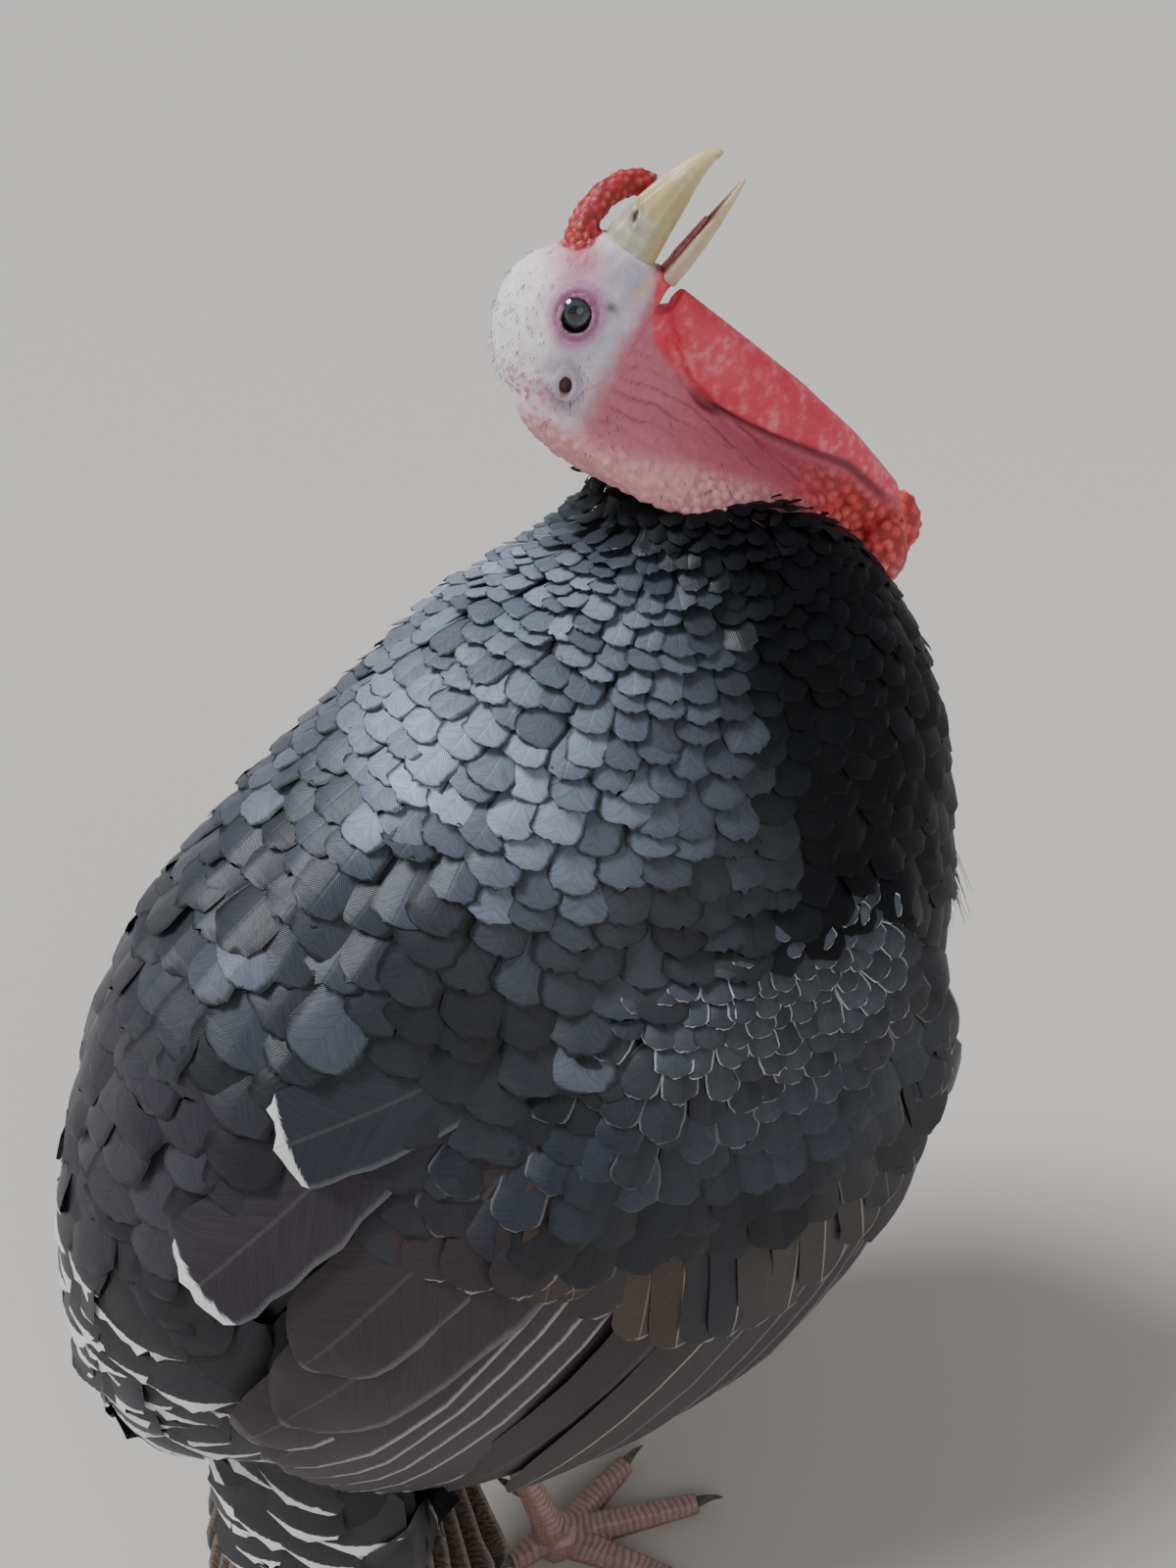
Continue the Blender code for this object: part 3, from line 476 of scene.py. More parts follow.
class Coat:
    """Feathers gathered into one mesh. Each is a closed thin vane on a grid of rows and columns."""

    def __init__(self, name, rows, columns=7):
        self.name = name
        self.rows, self.columns = rows, columns
        self.parts = []

    def add(self, line, up, ahead, half, camber, tip, tint, edge, band, shaft, twist, thick, ragged, seed,
            mirror=False, one_sided=False):
        """line, up, ahead: (N, R, 3); half: (N, R); the rest per feather or plain numbers."""
        n, r = half.shape
        c = self.columns

        def per(value):
            """A number for each feather, or one for all, shaped to meet the grid."""
            return np.broadcast_to(value, (n,))[:, None, None]

        t = np.linspace(-1, 1, c)
        side = unit(np.cross(up, ahead))
        cos, sin = np.cos(per(twist)), np.sin(per(twist))
        side, up = side * cos + up * sin, up * cos - side * sin
        rr = np.random.default_rng(seed)
        share = np.linspace(0, 1, r)
        half = half[:, :, None]
        wide = half * t * (1 + ragged * rr.normal(size=(n, r, c)) * (np.abs(t) > 0.9))
        high = per(camber) * (1 - t * t) * np.ones((n, r, 1))
        back = -per(tip) * half * (t * t) * (share ** 3)[None, :, None]
        back = back + half * ragged * 2.5 * rr.normal(size=(n, r, c)) * (share > 0.99)[None, :, None]
        top = (line[:, :, None] + side[:, :, None] * wide[..., None] + up[:, :, None] * high[..., None]
               + ahead[:, :, None] * back[..., None])
        thin = per(thick) * (1 - t * t * 0.6) * np.ones((1, r, 1))
        bottom = top - up[:, :, None] * thin[..., None]
        lengths = np.linalg.norm(np.diff(line, axis=1), axis=2).sum(1)
        along = np.broadcast_to(share[None, :, None], (n, r, c))
        across = np.broadcast_to(t[None, None, :], (n, r, c))
        barb = (along * lengths[:, None, None] - np.abs(across) * half * 0.9) / BARB_PITCH
        if mirror:
            flip = np.array([1.0, -1.0, 1.0])
            top, bottom, line = bottom * flip, top * flip, line * flip
        values = {"along": along, "across": across, "barb": barb, "band": per(band), "shaft": per(shaft),
                  "edge": per(edge) * (across > -0.2 if one_sided else 1.0), "length": per(lengths)}
        part = {key: np.broadcast_to(value, (n, r, c)) for key, value in values.items()}
        colour = np.broadcast_to(tint, (n, 3))[:, None, None]
        part.update(top=top, bottom=bottom, root=line[:, 0], tint=np.broadcast_to(colour, (n, r, c, 3)))
        self.parts.append(part)

    def build(self):
        """The mesh, with the two faces of each vane sharing their rim."""
        r, c = self.rows, self.columns
        whole = {key: np.concatenate([part[key] for part in self.parts]) for key in self.parts[0]}
        n = len(whole["top"])
        inner = np.zeros((r, c), bool)
        inner[1:-1, 1:-1] = True
        per = r * c + int(inner.sum())
        up_index = np.arange(r * c).reshape(r, c)
        low_index = up_index.copy()
        low_index[inner] = np.arange(r * c, per)
        quads = []
        for i in range(r - 1):
            for k in range(c - 1):
                corners = ((i, k), (i, k + 1), (i + 1, k + 1), (i + 1, k))
                quads.append([up_index[at] for at in corners])
                quads.append([low_index[corners[j]] for j in (0, 3, 2, 1)])

        def both(key, low=None):
            """Values on the upper face of each vane, then those inside the rim of the lower face."""
            v, w = whole[key], whole[low or key]
            return np.concatenate([v.reshape(n, r * c, *v.shape[3:]), w[:, inner]], 1)

        points = both("top", "bottom").reshape(-1, 3)
        faces = (np.array(quads)[None] + (np.arange(n) * per)[:, None, None]).reshape(-1, 4)
        mesh = bpy.data.meshes.new(self.name)
        mesh.from_pydata(points.tolist(), [], faces.tolist())
        mesh.shade_smooth()
        for key in ("along", "across", "barb", "edge", "band", "shaft", "length"):
            paint(mesh, key, both(key).ravel())
        paint(mesh, "tint", both("tint").reshape(-1, 3))
        patch = np.stack([both("across") * 0.5, both("along") - 0.5], -1)
        unwrap(mesh, coat_place(whole["root"])[:, None] + UV_PATCH * patch)
        mesh.set_sharp_from_angle(angle=math.radians(70))
        return link(self.name, mesh)


# ---------------------------------------------------------------- feather materials
def feather_material(name, rough, sheen, sheen_tint, barbs, pattern=None, specular=0.35):
    m = Nodes(name)
    along, across = m.attribute("along"), m.math("ABSOLUTE", m.attribute("across"))
    base = m.attribute("tint", "Color")
    streak = m.noise(1.0, 3.0, 0.6, m.join(m.times(m.attribute("barb"), 0.55), m.times(across, 1.5),
                                           m.times(m.attribute("length"), 900.0)))
    base = m.darker(m.ramp(streak, 0.3, 0.75, 0.0, 0.6), base, (0.45, 0.45, 0.45))
    if pattern:
        base = pattern(m, base, along, streak)
    wobble = m.times(m.math("SUBTRACT", streak, 0.5), 0.10)
    reach, aside = m.plus(along, wobble), m.plus(across, wobble)
    # an edge value below zero darkens the rim, one above zero makes it pale
    edge = m.attribute("edge")
    dark = m.math("MAXIMUM", m.ramp(aside, 0.74, 0.94), m.ramp(reach, 0.84, 0.97))
    base = m.mix(m.times(dark, m.times(edge, -1.0), clamp=True), base, (0.004, 0.004, 0.006))
    rim = m.math("MAXIMUM", m.ramp(aside, 0.86, 0.97), m.ramp(reach, 0.93, 0.985))
    band = m.attribute("band")
    tip = m.times(m.ramp(reach, m.math("SUBTRACT", 1.0, band), m.math("SUBTRACT", 1.03, band)),
                  m.ramp(band, 0.001, 0.01))
    base = m.mix(m.math("MAXIMUM", tip, m.times(rim, edge, clamp=True)), base, (0.74, 0.74, 0.74))
    shaft = m.times(m.ramp(across, 0.050, 0.018), m.attribute("shaft"), clamp=True)
    base = m.mix(shaft, base, (0.30, 0.25, 0.20))
    m.set(Base_Color=base, Roughness=rough, Specular_IOR_Level=specular, Sheen_Weight=sheen,
          Sheen_Roughness=0.45, Sheen_Tint=sheen_tint)
    wave = m.math("SINE", m.times(m.attribute("barb"), 2 * math.pi))
    height = m.plus(m.times(wave, 0.5), m.times(streak, 2.0))
    return m.bump(m.plus(height, m.ramp(across, 0.08, 0.0, 0.0, 1.5)), barbs, 0.0004)


def tail_pattern(m, base, along, streak):
    """Fine dark bars on brown, then a black band; the pale tip is the feather's own band."""
    bars = m.math("SINE", m.plus(m.times(along, 330.0), m.times(m.noise(110.0, 3.0, 0.6), 26.0)))
    base = m.mix(m.ramp(bars, -0.3, 0.7, 0.0, 0.85), base, (0.012, 0.010, 0.010))
    return m.mix(m.ramp(m.plus(along, m.times(streak, 0.02)), 0.80, 0.825), base, (0.008, 0.008, 0.010))


BODY_FEATHER = feather_material("body_feather", 0.38, 0.04, (0.4, 0.6, 1.0), 0.24)
# painted shade: a duller copy of the body feather, with less specular and sheen, so the neck, breast and
# sides read as dark as in shade
SHADED_JET = feather_material("shaded_jet_feather", 0.48, 0.02, (0.4, 0.6, 1.0), 0.18, specular=0.14)
FLUFF = feather_material("fluff", 0.6, 0.08, (0.6, 0.55, 0.7), 0.35)
FLIGHT = feather_material("flight_feather", 0.46, 0.04, (0.6, 0.6, 0.8), 0.30)
TAIL = feather_material("tail_feather", 0.5, 0.04, (0.6, 0.6, 0.7), 0.3, tail_pattern)

BLACK = np.array([0.012, 0.014, 0.018])
INK = np.array([0.010, 0.012, 0.020])
SLATE = np.array([0.028, 0.034, 0.046])
BROWN = np.array([0.034, 0.028, 0.027])
PURPLE = np.array([0.033, 0.023, 0.027])
BRONZE = np.array([0.070, 0.045, 0.030])
RUMP_TONE = np.array([0.020, 0.017, 0.021])

# ---------------------------------------------------------------- body plumage
NECK_SOURCE = TN + np.array([0.064, 0.0, 0.268])     # feathers run out from the foot of the bare neck
TAIL_WAY = np.array([-0.329, -0.452, -0.829])
COVERT_LINE = np.array([(-0.118, 0.200), (-0.098, 0.117), (-0.070, 0.052), (-0.040, -0.006), (0.004, -0.046),
                        (0.062, -0.082), (0.110, -0.098), (0.200, -0.100)])


def spread(rows, count):
    """Rows of numbers read evenly along their table."""
    rows = np.array(rows, float)
    at = np.linspace(0, len(rows) - 1, count)
    return np.stack([np.interp(at, np.arange(len(rows)), column) for column in rows.T], 1)


def chosen_of(which, *arrays):
    """The same choice out of several arrays."""
    return [array[which] for array in arrays]


def covert_field(u, w):
    """Distance above the lower edge of the wing coverts, place along it, and the way the feathers lie."""
    line = spread(COVERT_LINE, 400)
    for _ in range(400):
        line[1:-1] = (line[:-2] + 2 * line[1:-1] + line[2:]) / 4
    tangent = unit(np.gradient(line, axis=0))
    run = np.concatenate([[0], np.cumsum(np.linalg.norm(np.diff(line, axis=0), axis=1))])
    away = np.hypot(u[:, None] - line[None, :, 0], w[:, None] - line[None, :, 1])
    k = away.argmin(1)
    square = np.stack([-tangent[k, 1], tangent[k, 0]], 1)      # points up and forward from the edge
    over = (u - line[k, 0]) * square[:, 0] + (w - line[k, 1]) * square[:, 1]
    return over, run[k], -square


def body_flow(spots, ups):
    """The way body feathers lie: away from the neck, then down the tail."""
    share = smooth(-0.20, -0.32, to_trunk(spots)[:, 0])[:, None]
    return square_to(unit(spots - NECK_SOURCE) * (1 - share) + TAIL_WAY * share, ups)


def in_rows(value, order, spots, pitch_at, start, stop, wide):
    """Indices of places in rows: level sets of value, each walked in order with its spacing across."""
    chosen = []
    level = start
    odd = False
    while level < stop:
        gap = float(pitch_at(level)) * wide
        band = np.where(np.abs(value - level) < ROW_BAND)[0]
        band = band[np.argsort(order[band])]
        last = []
        for i in band:
            if odd and np.linalg.norm(spots[i] - spots[band[0]]) < 0.5 * gap:
                continue
            if all(np.linalg.norm(spots[i] - q) > gap for q in last[-6:]):
                last.append(spots[i])
                chosen.append(i)
        level += float(pitch_at(level))
        odd = not odd
    return np.array(chosen)


def pitch_body(r):
    """Distance between rows of body feathers against the distance from the neck."""
    return np.interp(r, [0.04, 0.075, 0.12, 0.20, 0.28, 0.36, 0.44, 0.60],
                     [.0050, .0075, .0105, .0135, .0185, .0190, .0190, .0200])


def pitch_covert(d):
    """Distance between rows of wing coverts against the distance above their lower edge."""
    return np.interp(d, [0.0, 0.03, 0.07, 0.11, 0.16], [.0165, .0140, .0105, .0075, .0060])


def radial_rows(mesh, count, seed):
    """Roots of body feathers in rings round the foot of the neck."""
    spots, ups = surface_cloud(mesh, count, seed)
    away = np.linalg.norm(spots - NECK_SOURCE, axis=1)
    right = np.array([0, 1.0, 0])
    front = np.cross(right, unit(np.array([-0.10, 0, -0.36])))
    angle = np.arctan2((spots - NECK_SOURCE) @ right, (spots - NECK_SOURCE) @ front)
    index = in_rows(away, angle, spots, pitch_body, 0.034, 0.65, 1.32)
    return chosen_of(index, spots, ups, away)


BODY_STEPS = np.array([0.0, 0.20, 0.42, 0.63, 0.80, 0.90, 0.96, 1.0])
ROUND = np.array([0.35, 0.72, 0.95, 1.00, 0.97, 0.86, 0.69, 0.42])
BROAD = np.array([0.35, 0.70, 0.92, 1.00, 1.00, 0.95, 0.83, 0.58])
LONG = 2.9                                                     # length of a body feather, in row pitches
TIP_CURVE = 0.30                                               # how far a vane's sides draw back at its tip
BODY_VANE_THICK = 0.0004


def contour(name, spots, ups, way, length, width, tint, edge, band, seed, depth=0.0042, lift=0.0026,
            profile=ROUND, surface=BODY_FEATHER, slot_name="plumage_black", ragged=0.05, tree=None,
            stray=0.008):
    """One coat piece of body feathers rooted at the given places, without those that leave the surface."""
    r = np.random.default_rng(seed)
    count = len(spots)
    swing = np.radians(r.normal(0, 1, count) * 5.0)[:, None]
    way = unit(way * np.cos(swing) + np.cross(ups, way) * np.sin(swing))
    length = length * (1 + 0.07 * r.normal(size=count))
    width = width * (1 + 0.06 * r.normal(size=count))
    line, up, ahead = along_surface(spots, way, length, BODY_STEPS, tree or HULL_TREE)
    sound = distances(tree or HULL_TREE, line[:, -1]) < stray
    if tree:                                                   # under the wings: only what stays under
        for i in np.where(sound)[0]:
            for q in line[i, 2::2].tolist():
                found, facing, _, _ = HULL_TREE.find_nearest(q)
                sound[i] &= (Vector(q) - found).dot(facing) < 0.0005
    edge, band, depth, lift = (np.broadcast_to(v, (count,))[sound] for v in (edge, band, depth, lift))
    line, up, ahead, width, tint = chosen_of(sound, line, up, ahead, width, tint)
    count = len(line)
    high = -depth[:, None] * (1 - BODY_STEPS) ** 1.4 + lift[:, None] * BODY_STEPS ** 1.5
    high = high * (1 + 0.20 * r.normal(size=(count, 1)))
    coat = Coat(name, len(BODY_STEPS))
    twist = np.radians(r.normal(0, 4.0, count))
    coat.add(line + up * high[..., None], up, ahead, width[:, None] / 2 * profile, 0.07 * width, TIP_CURVE,
             tint, edge, band, 0.0, twist, BODY_VANE_THICK, ragged, seed)
    keep(coat.build(), surface)


def mottled(tone, low, extra):
    """Feather tones made lighter and darker at random."""
    return tone * (low + extra * rng.random((len(tone), 1)))


spots, ups, away = radial_rows(hull.data, 260000, 3)
names = tract_names(spots)
u, y, w = to_trunk(spots).T
y = np.abs(y)
over, _, _ = covert_field(u, w)
wing_like = np.char.startswith(names, "wing")
free = (~wing_like | ((over > 0.02) & (w > 0.115))) & ~(wing_like & (y > 0.105))
inner_quill = (u < -0.066) & (u > -0.118) & (w > 0.086) & (w < 0.128)
inner_quill |= (u < -0.100) & (u > -0.193) & (w > 0.040) & (w < 0.100)
free &= ~(inner_quill & (y > 0.07)) & ~np.char.startswith(names, "thigh")
spots, ups, away, u, y, w = chosen_of(free, spots, ups, away, u, y, w)
way = body_flow(spots, ups)
pitch = pitch_body(away)
# painted sheen: a pale blue-grey highlight painted into the colour of the upper back's feathers, where the
# key light glances off them; how far it reaches, and how strong it is
mantle = (smooth(0.030, 0.095, w) * smooth(0.100, -0.010, y - (0.160 - u) * 1.1)
          * smooth(0.035, 0.065, away) * smooth(0.34, 0.25, away))
mantle = np.maximum(mantle, 0.35 * smooth(0.05, 0.09, w) * smooth(0.09, 0.04, u) * smooth(0.36, 0.30, away))
patchy_sheen = 0.74 + 0.26 * np.sin(spots[:, 0] * 61 + spots[:, 1] * 37)
# strength of the painted sheen: strongest near the neck end and along the top line of the back, weaker down
# the sides and towards the tail, with some feathers brighter at random
sheen = np.interp(away, [.05, .08, .13, .15, .17, .20, .23, .26, .33],
                  [1.5, 2.7, 2.8, 2.1, 1.25, .75, .55, .48, .42])
beside = 1 - np.interp(y, [.05, .075, .10], [1, .8, .42])
sheen *= 1 - beside * smooth(0.14, 0.19, away) * smooth(0.065, 0.10, w)
sheen *= np.where((rng.random(len(away)) < 0.14) & (away > 0.16), 1.9, 1.0)
lower_back = smooth(0.02, 0.10, w) * smooth(0.27, 0.34, away)
rumpish = smooth(0.37, 0.42, away) * smooth(-0.10, -0.16, u)
# blue-grey colour of the painted sheen
painted_sheen_tone = np.array([0.128, 0.149, 0.190]) * sheen[:, None]
tone = lay(np.array([0.0030, 0.0036, 0.0055]), mantle * patchy_sheen, painted_sheen_tone)
tone = lay(tone, lower_back, (0.032, 0.031, 0.040))
tone = mottled(lay(tone, rumpish, RUMP_TONE), 0.60, 0.8)
dark_rim = -0.9 * np.clip(mantle * 1.4 + 0.7 * lower_back, 0, 1)
banding = 0.30 * smooth(0.425, 0.445, away) * smooth(-0.14, -0.20, u)
past_ruff, high_up, on_rump, bright = away >= 0.105, w >= 0.02, rumpish >= 0.5, mantle >= 0.06
BODY_GROUPS = {
    "neck_feathers": (~past_ruff & ~bright, 2.05, dict(surface=SHADED_JET)),
    "front_feathers": (past_ruff & ~high_up & ~on_rump & ~bright, 2.05, dict(surface=SHADED_JET)),
    "side_feathers": (past_ruff & high_up & (u > 0.075) & ~bright, 2.05, dict(surface=SHADED_JET)),
    "back_feathers": ((high_up & ~on_rump & (u <= 0.075) & past_ruff) | bright, 2.05,
                      dict(profile=BROAD, depth=0.0050, lift=0.0038)),
    "rump_feathers": (past_ruff & on_rump & (banding < 0.02), 2.05, dict(surface=FLUFF, ragged=0.10)),
    "tail_coverts_upper": (past_ruff & on_rump & (banding >= 0.02), 2.6,
                           dict(profile=BROAD, slot_name="plumage_coverts", lift=0.0045)),
}
for number, (name, (mask, wide, style)) in enumerate(BODY_GROUPS.items()):
    contour(name, spots[mask], ups[mask], way[mask], pitch[mask] * LONG, pitch[mask] * wide, tone[mask],
            dark_rim[mask], banding[mask], 20 + number, stray=0.009, **style)

# wing coverts, in rows along their lower edge
spots, ups = surface_cloud(hull.data, 260000, 4)
u, y, w = to_trunk(spots).T
outward = (np.abs(y) > 0.075) & (ups[:, 1] * np.sign(y) > 0.05) & (u < 0.148) & (u > -0.16) & (w < 0.150)
spots, ups, u, y, w = chosen_of(outward, spots, ups, u, y, w)
over, run, lie = covert_field(u, w)
picked = in_rows(over, run + (y > 0) * 10, spots, pitch_covert, 0.016, 0.22, 1.30)
picked = picked[np.char.startswith(tract_names(spots[picked]), "wing")]
over, u, w, spots, ups, lie = chosen_of(picked, over, u, w, spots, ups, lie)
way = square_to(np.stack([lie[:, 0], np.zeros(len(lie)), lie[:, 1]], 1) @ TRUNK, ups)
shoulder = smooth(0.05, 0.10, over) * smooth(0.00, 0.06, u)
blue = smooth(0.35, 0.75, 0.5 + 0.5 * np.sin(u * 45 + w * 60))
tone = lay(np.array([0.0095, 0.0110, 0.0165]), 0.55 * blue * smooth(0.01, 0.05, over), (0.045, 0.060, 0.088))
tone = lay(tone, smooth(-0.02, -0.08, u), (0.020, 0.017, 0.023))
tone = mottled(lay(tone, 0.75 * shoulder, (0.060, 0.068, 0.085)), 0.6, 0.8)
edge = shoulder * smooth(0.150, 0.125, over) * 0.55 * (rng.random(len(over)) < 0.75)
edge = edge + 0.10 * (rng.random(len(over)) < 0.25)
edge = np.where(edge < 0.02, -0.5, edge)
pitch = pitch_covert(over)
contour("wing_covert_feathers", spots, ups, way, pitch * LONG, pitch * 2.0, tone, edge, 0.0, 29, 0.0030,
        0.0030 + 0.0040 * smooth(0.07, 0.0, over), BROAD, slot_name="plumage_coverts", ragged=0.03)

# flank under the wings
core = remeshed("core", CORE, BODY_VOXEL, BODY_GROW, 4)
spots, ups, away = radial_rows(core.data, 160000, 6)
buried = (distances(HULL_TREE, spots) > 0.004) & (np.abs(to_trunk(spots)[:, 1]) > 0.05) & (away > 0.20)
spots, ups, away = chosen_of(buried, spots, ups, away)
tone = mottled(np.tile([0.012, 0.012, 0.016], (len(spots), 1)), 0.7, 0.6)
pitch = pitch_body(away)
banding = 0.20 * smooth(0.440, 0.460, away) * (to_trunk(spots)[:, 0] < -0.17)
contour("flank_feathers", spots, ups, body_flow(spots, ups), pitch * LONG, pitch * 2.2, tone, 0.0, banding,
        30, 0.0040, 0.0020, surface=FLUFF, ragged=0.08, tree=tree_of(core.data))
bpy.data.objects.remove(core, do_unlink=True)

# thighs: short soft feathers that run down to the hocks
spots, ups = surface_cloud(hull.data, 160000, 8)
u, y, w = to_trunk(spots).T
thigh = np.char.startswith(tract_names(spots), "thigh")
thigh &= (np.abs(y) < 0.10) | (w < -0.20)                      # the rest is under the wing
spots, ups = chosen_of(thigh, spots, ups)
spots, ups = chosen_of(thinned(spots, 0.0095, 9), spots, ups)
tone = mottled(np.tile([0.0045, 0.0045, 0.0060], (len(spots), 1)), 0.7, 0.6)
way = square_to(np.array([-0.35, 0.0, -1.0]), ups)
contour("thigh_feathers", spots, ups, way, 0.030, 0.021, tone, 0.0, 0.0, 31, 0.0035, 0.0015, surface=FLUFF,
        ragged=0.06, stray=0.010)

# ---------------------------------------------------------------- wings' long feathers
WING_MIDDLE = (-0.030, -0.050)
WING_STEPS = np.array([0, .07, .15, .24, .34, .45, .56, .67, .77, .85, .91, .955, .985, 1.0])
WING_JITTER = np.array([.002, .002, .0022, .0018, .001, .0006, .0002, .0003])
VANE_CURVE = 0.17                                              # radius of a long feather across its width


def wing_side(u, w):
    """Distance of a folded wing's outer face from the midline."""
    length = np.where(u > WING_MIDDLE[0], 0.262, 0.330)
    height = np.where(w > WING_MIDDLE[1], 0.215, 0.300)
    square = ((u - WING_MIDDLE[0]) / length) ** 2 + ((w - WING_MIDDLE[1]) / height) ** 2
    return 0.168 * np.sqrt(np.maximum(0.05, 1 - square))


def wing_frame(u, w, out):
    """World places at a height over the right wing's outer face, and normals."""
    e = 0.002
    slope_u = -(wing_side(u + e, w) - wing_side(u - e, w)) / (2 * e)
    slope_w = -(wing_side(u, w + e) - wing_side(u, w - e)) / (2 * e)
    normal = unit(np.stack([slope_u, -np.ones_like(u), slope_w], -1) @ TRUNK)
    return trunk(np.stack([u, -(wing_side(u, w) + 0.001), w], -1)) + normal * out[..., None], normal


def blade(base=0.6, shoulder=0.84, end=0.30):
    """Outline of a long feather: half width against the share of its length."""
    x = np.clip((WING_STEPS - shoulder) / (1 - shoulder), 0, 1)
    return (base + (1 - base) * smooth(0, 0.3, WING_STEPS)) * np.sqrt(1 - (1 - end ** 2) * x ** 2)


def wing_vanes(rows, tint, edge, band, shaft, outline, seed, roll=4.0, ragged=0.02, tip=0.25, on_hull=True):
    """Long feathers of both wings. Rows: root u, w; tip u, w; bow; width; height at root and tip."""
    r = np.random.default_rng(seed)
    s = WING_STEPS[None]
    for mirror in (False, True):
        jitter = r.normal(size=(len(rows), 8)) * WING_JITTER
        ru, rw, tu, tw, bow, width, low, high = (rows + jitter).T[:, :, None]
        bend = bow * 4 * s * (1 - s)
        u = ru + (tu - ru) * s - (tw - rw) * bend
        w = rw + (tw - rw) * s + (tu - ru) * bend
        rise = low + (high - low) * s ** 1.2
        if on_hull:
            line, up = wing_frame(u, w, u * 0)
            found = [HULL_TREE.find_nearest(q) for q in line.reshape(-1, 3).tolist()]
            line = np.array([f[0] for f in found]).reshape(line.shape)
            up = unit(np.array([f[1] for f in found]).reshape(line.shape) + up)
            line = line + up * rise[..., None]
        else:
            line, up = wing_frame(u, w, rise)
        ahead = unit(np.gradient(line, axis=1))
        camber = (width ** 2 / 8 / VANE_CURVE)[:, 0]
        tints = tint * (0.85 + 0.3 * r.random((len(rows), 1)))
        twist = np.radians(roll + r.normal(0, 1.2, len(rows)))
        flight.add(line, square_to(up, ahead), ahead, width / 2 * outline[None], camber, tip, tints, edge,
                   band, shaft, twist, LONG_VANE_THICK, ragged, seed + mirror, mirror, True)


LONG_VANE_THICK = 0.0006
flight = Coat("flight_feathers", len(WING_STEPS))
outer = np.array([
    (0.135, -0.070, 0.030, -0.168, 0.02, 0.036, -0.004, 0.0000),
    (0.115, -0.090, -0.025, -0.180, 0.02, 0.038, -0.004, 0.0000),
    (0.085, -0.110, -0.075, -0.190, 0.02, 0.040, -0.003, 0.0000),
    (0.078, -0.105, -0.105, -0.192, 0.02, 0.044, -0.003, 0.0015),
    (0.070, -0.100, -0.135, -0.188, 0.02, 0.047, -0.003, 0.0030),
    (0.060, -0.090, -0.170, -0.178, 0.02, 0.050, -0.003, 0.0050),
    (0.030, -0.046, -0.230, -0.138, 0.03, 0.054, -0.004, 0.0020),
    (0.045, -0.075, -0.207, -0.160, 0.02, 0.051, -0.003, 0.0080)])
outer_shafts = np.array([0, 0, 0, 0, 0.2, 0.3, 0.1, 1.0])
wing_vanes(outer, PURPLE * 0.8, 0.15, 0.0, outer_shafts, blade(0.6, 0.72, 0.12), 31, on_hull=False)
second = spread([(0.020, -0.020, -0.246, -0.116, 0.05, 0.050, -0.008, 0.0010),
                 (0.010, 0.015, -0.264, -0.070, 0.05, 0.050, -0.008, 0.0030),
                 (0.000, 0.060, -0.258, -0.006, 0.05, 0.052, -0.008, 0.0045)], 8)
wing_vanes(second, PURPLE, 0.42, 0.012, 0.15, blade(0.6, 0.86, 0.25), 33)
inner = np.array([
    (-0.010, 0.040, -0.228, 0.002, 0.02, 0.066, -0.007, 0.0055),
    (-0.020, 0.060, -0.190, 0.032, 0.00, 0.060, -0.003, 0.0070)])
wing_vanes(inner, PURPLE * 1.1, 0.12, 0.0, 0.1, blade(0.6, 0.84, 0.35), 35, 3.0)
tertial = np.array([
    (-0.060, 0.105, -0.196, 0.080, 0.00, 0.056, -0.003, 0.0115),
    (-0.030, 0.092, -0.119, 0.114, 0.00, 0.047, -0.003, 0.0100)])
wing_vanes(tertial[:1], PURPLE * np.array([1.2, 1.4, 1.6]), 0.10, 0.145, 0.1, blade(0.6, 0.90, 0.62), 37, 2.0,
           0.03, 0.2)
wing_vanes(tertial[1:], SLATE * 0.8, 0.10, 0.160, 0.1, blade(0.6, 0.92, 0.70), 39, 2.0, 0.03, 0.15)
greater = spread([
    (-0.055, 0.085, -0.115, 0.035, 0.02, 0.030, -0.004, 0.0080),
    (-0.030, 0.055, -0.086, 0.004, 0.02, 0.032, -0.004, 0.0080),
    (-0.012, 0.042, -0.080, -0.028, 0.02, 0.033, -0.004, 0.0065),
    (0.016, 0.012, -0.071, -0.092, 0.02, 0.034, -0.004, 0.0065),
    (0.036, 0.000, -0.050, -0.125, 0.02, 0.034, -0.004, 0.0065),
    (0.060, -0.010, -0.018, -0.150, 0.02, 0.034, -0.004, 0.0065),
    (0.095, -0.020, 0.046, -0.146, 0.02, 0.032, -0.004, 0.0060),
    (0.125, -0.030, 0.092, -0.132, 0.02, 0.030, -0.004, 0.0060),
    (0.148, -0.030, 0.126, -0.104, 0.02, 0.028, -0.004, 0.0050)], 19)
shade = np.array([PURPLE, PURPLE, PURPLE, BRONZE * 0.7, BRONZE * 0.8, PURPLE, BRONZE, BRONZE * 0.8,
                  SLATE * 0.6, INK, BROWN * 1.2, BROWN * 1.4, BROWN * 1.2, BROWN, SLATE * 0.6, INK, INK, INK,
                  INK])
pale_shafts = np.array([0, 0, 0, .2, .4, 0, .5, .9, 0, .9, 0, 1, .9, 1, .3, .8, .6, .8, .5])
wing_vanes(greater, shade, 0.35, 0.01, pale_shafts, blade(0.6, 0.88, 0.5), 41, -4.0, 0.03)
keep(flight.build(), FLIGHT, [w for w in WINGS if w not in COVERTS])

# ---------------------------------------------------------------- tail fan
TAIL_ROOT = TN + np.array([-0.134, -0.028, -0.184])
TAIL_YAW, TAIL_SPREAD = math.radians(54), math.radians(22)
TAIL_DIP = (math.radians(56), math.radians(70))
TAIL_LENGTH = 0.278
TAIL_FEATHERS = 18


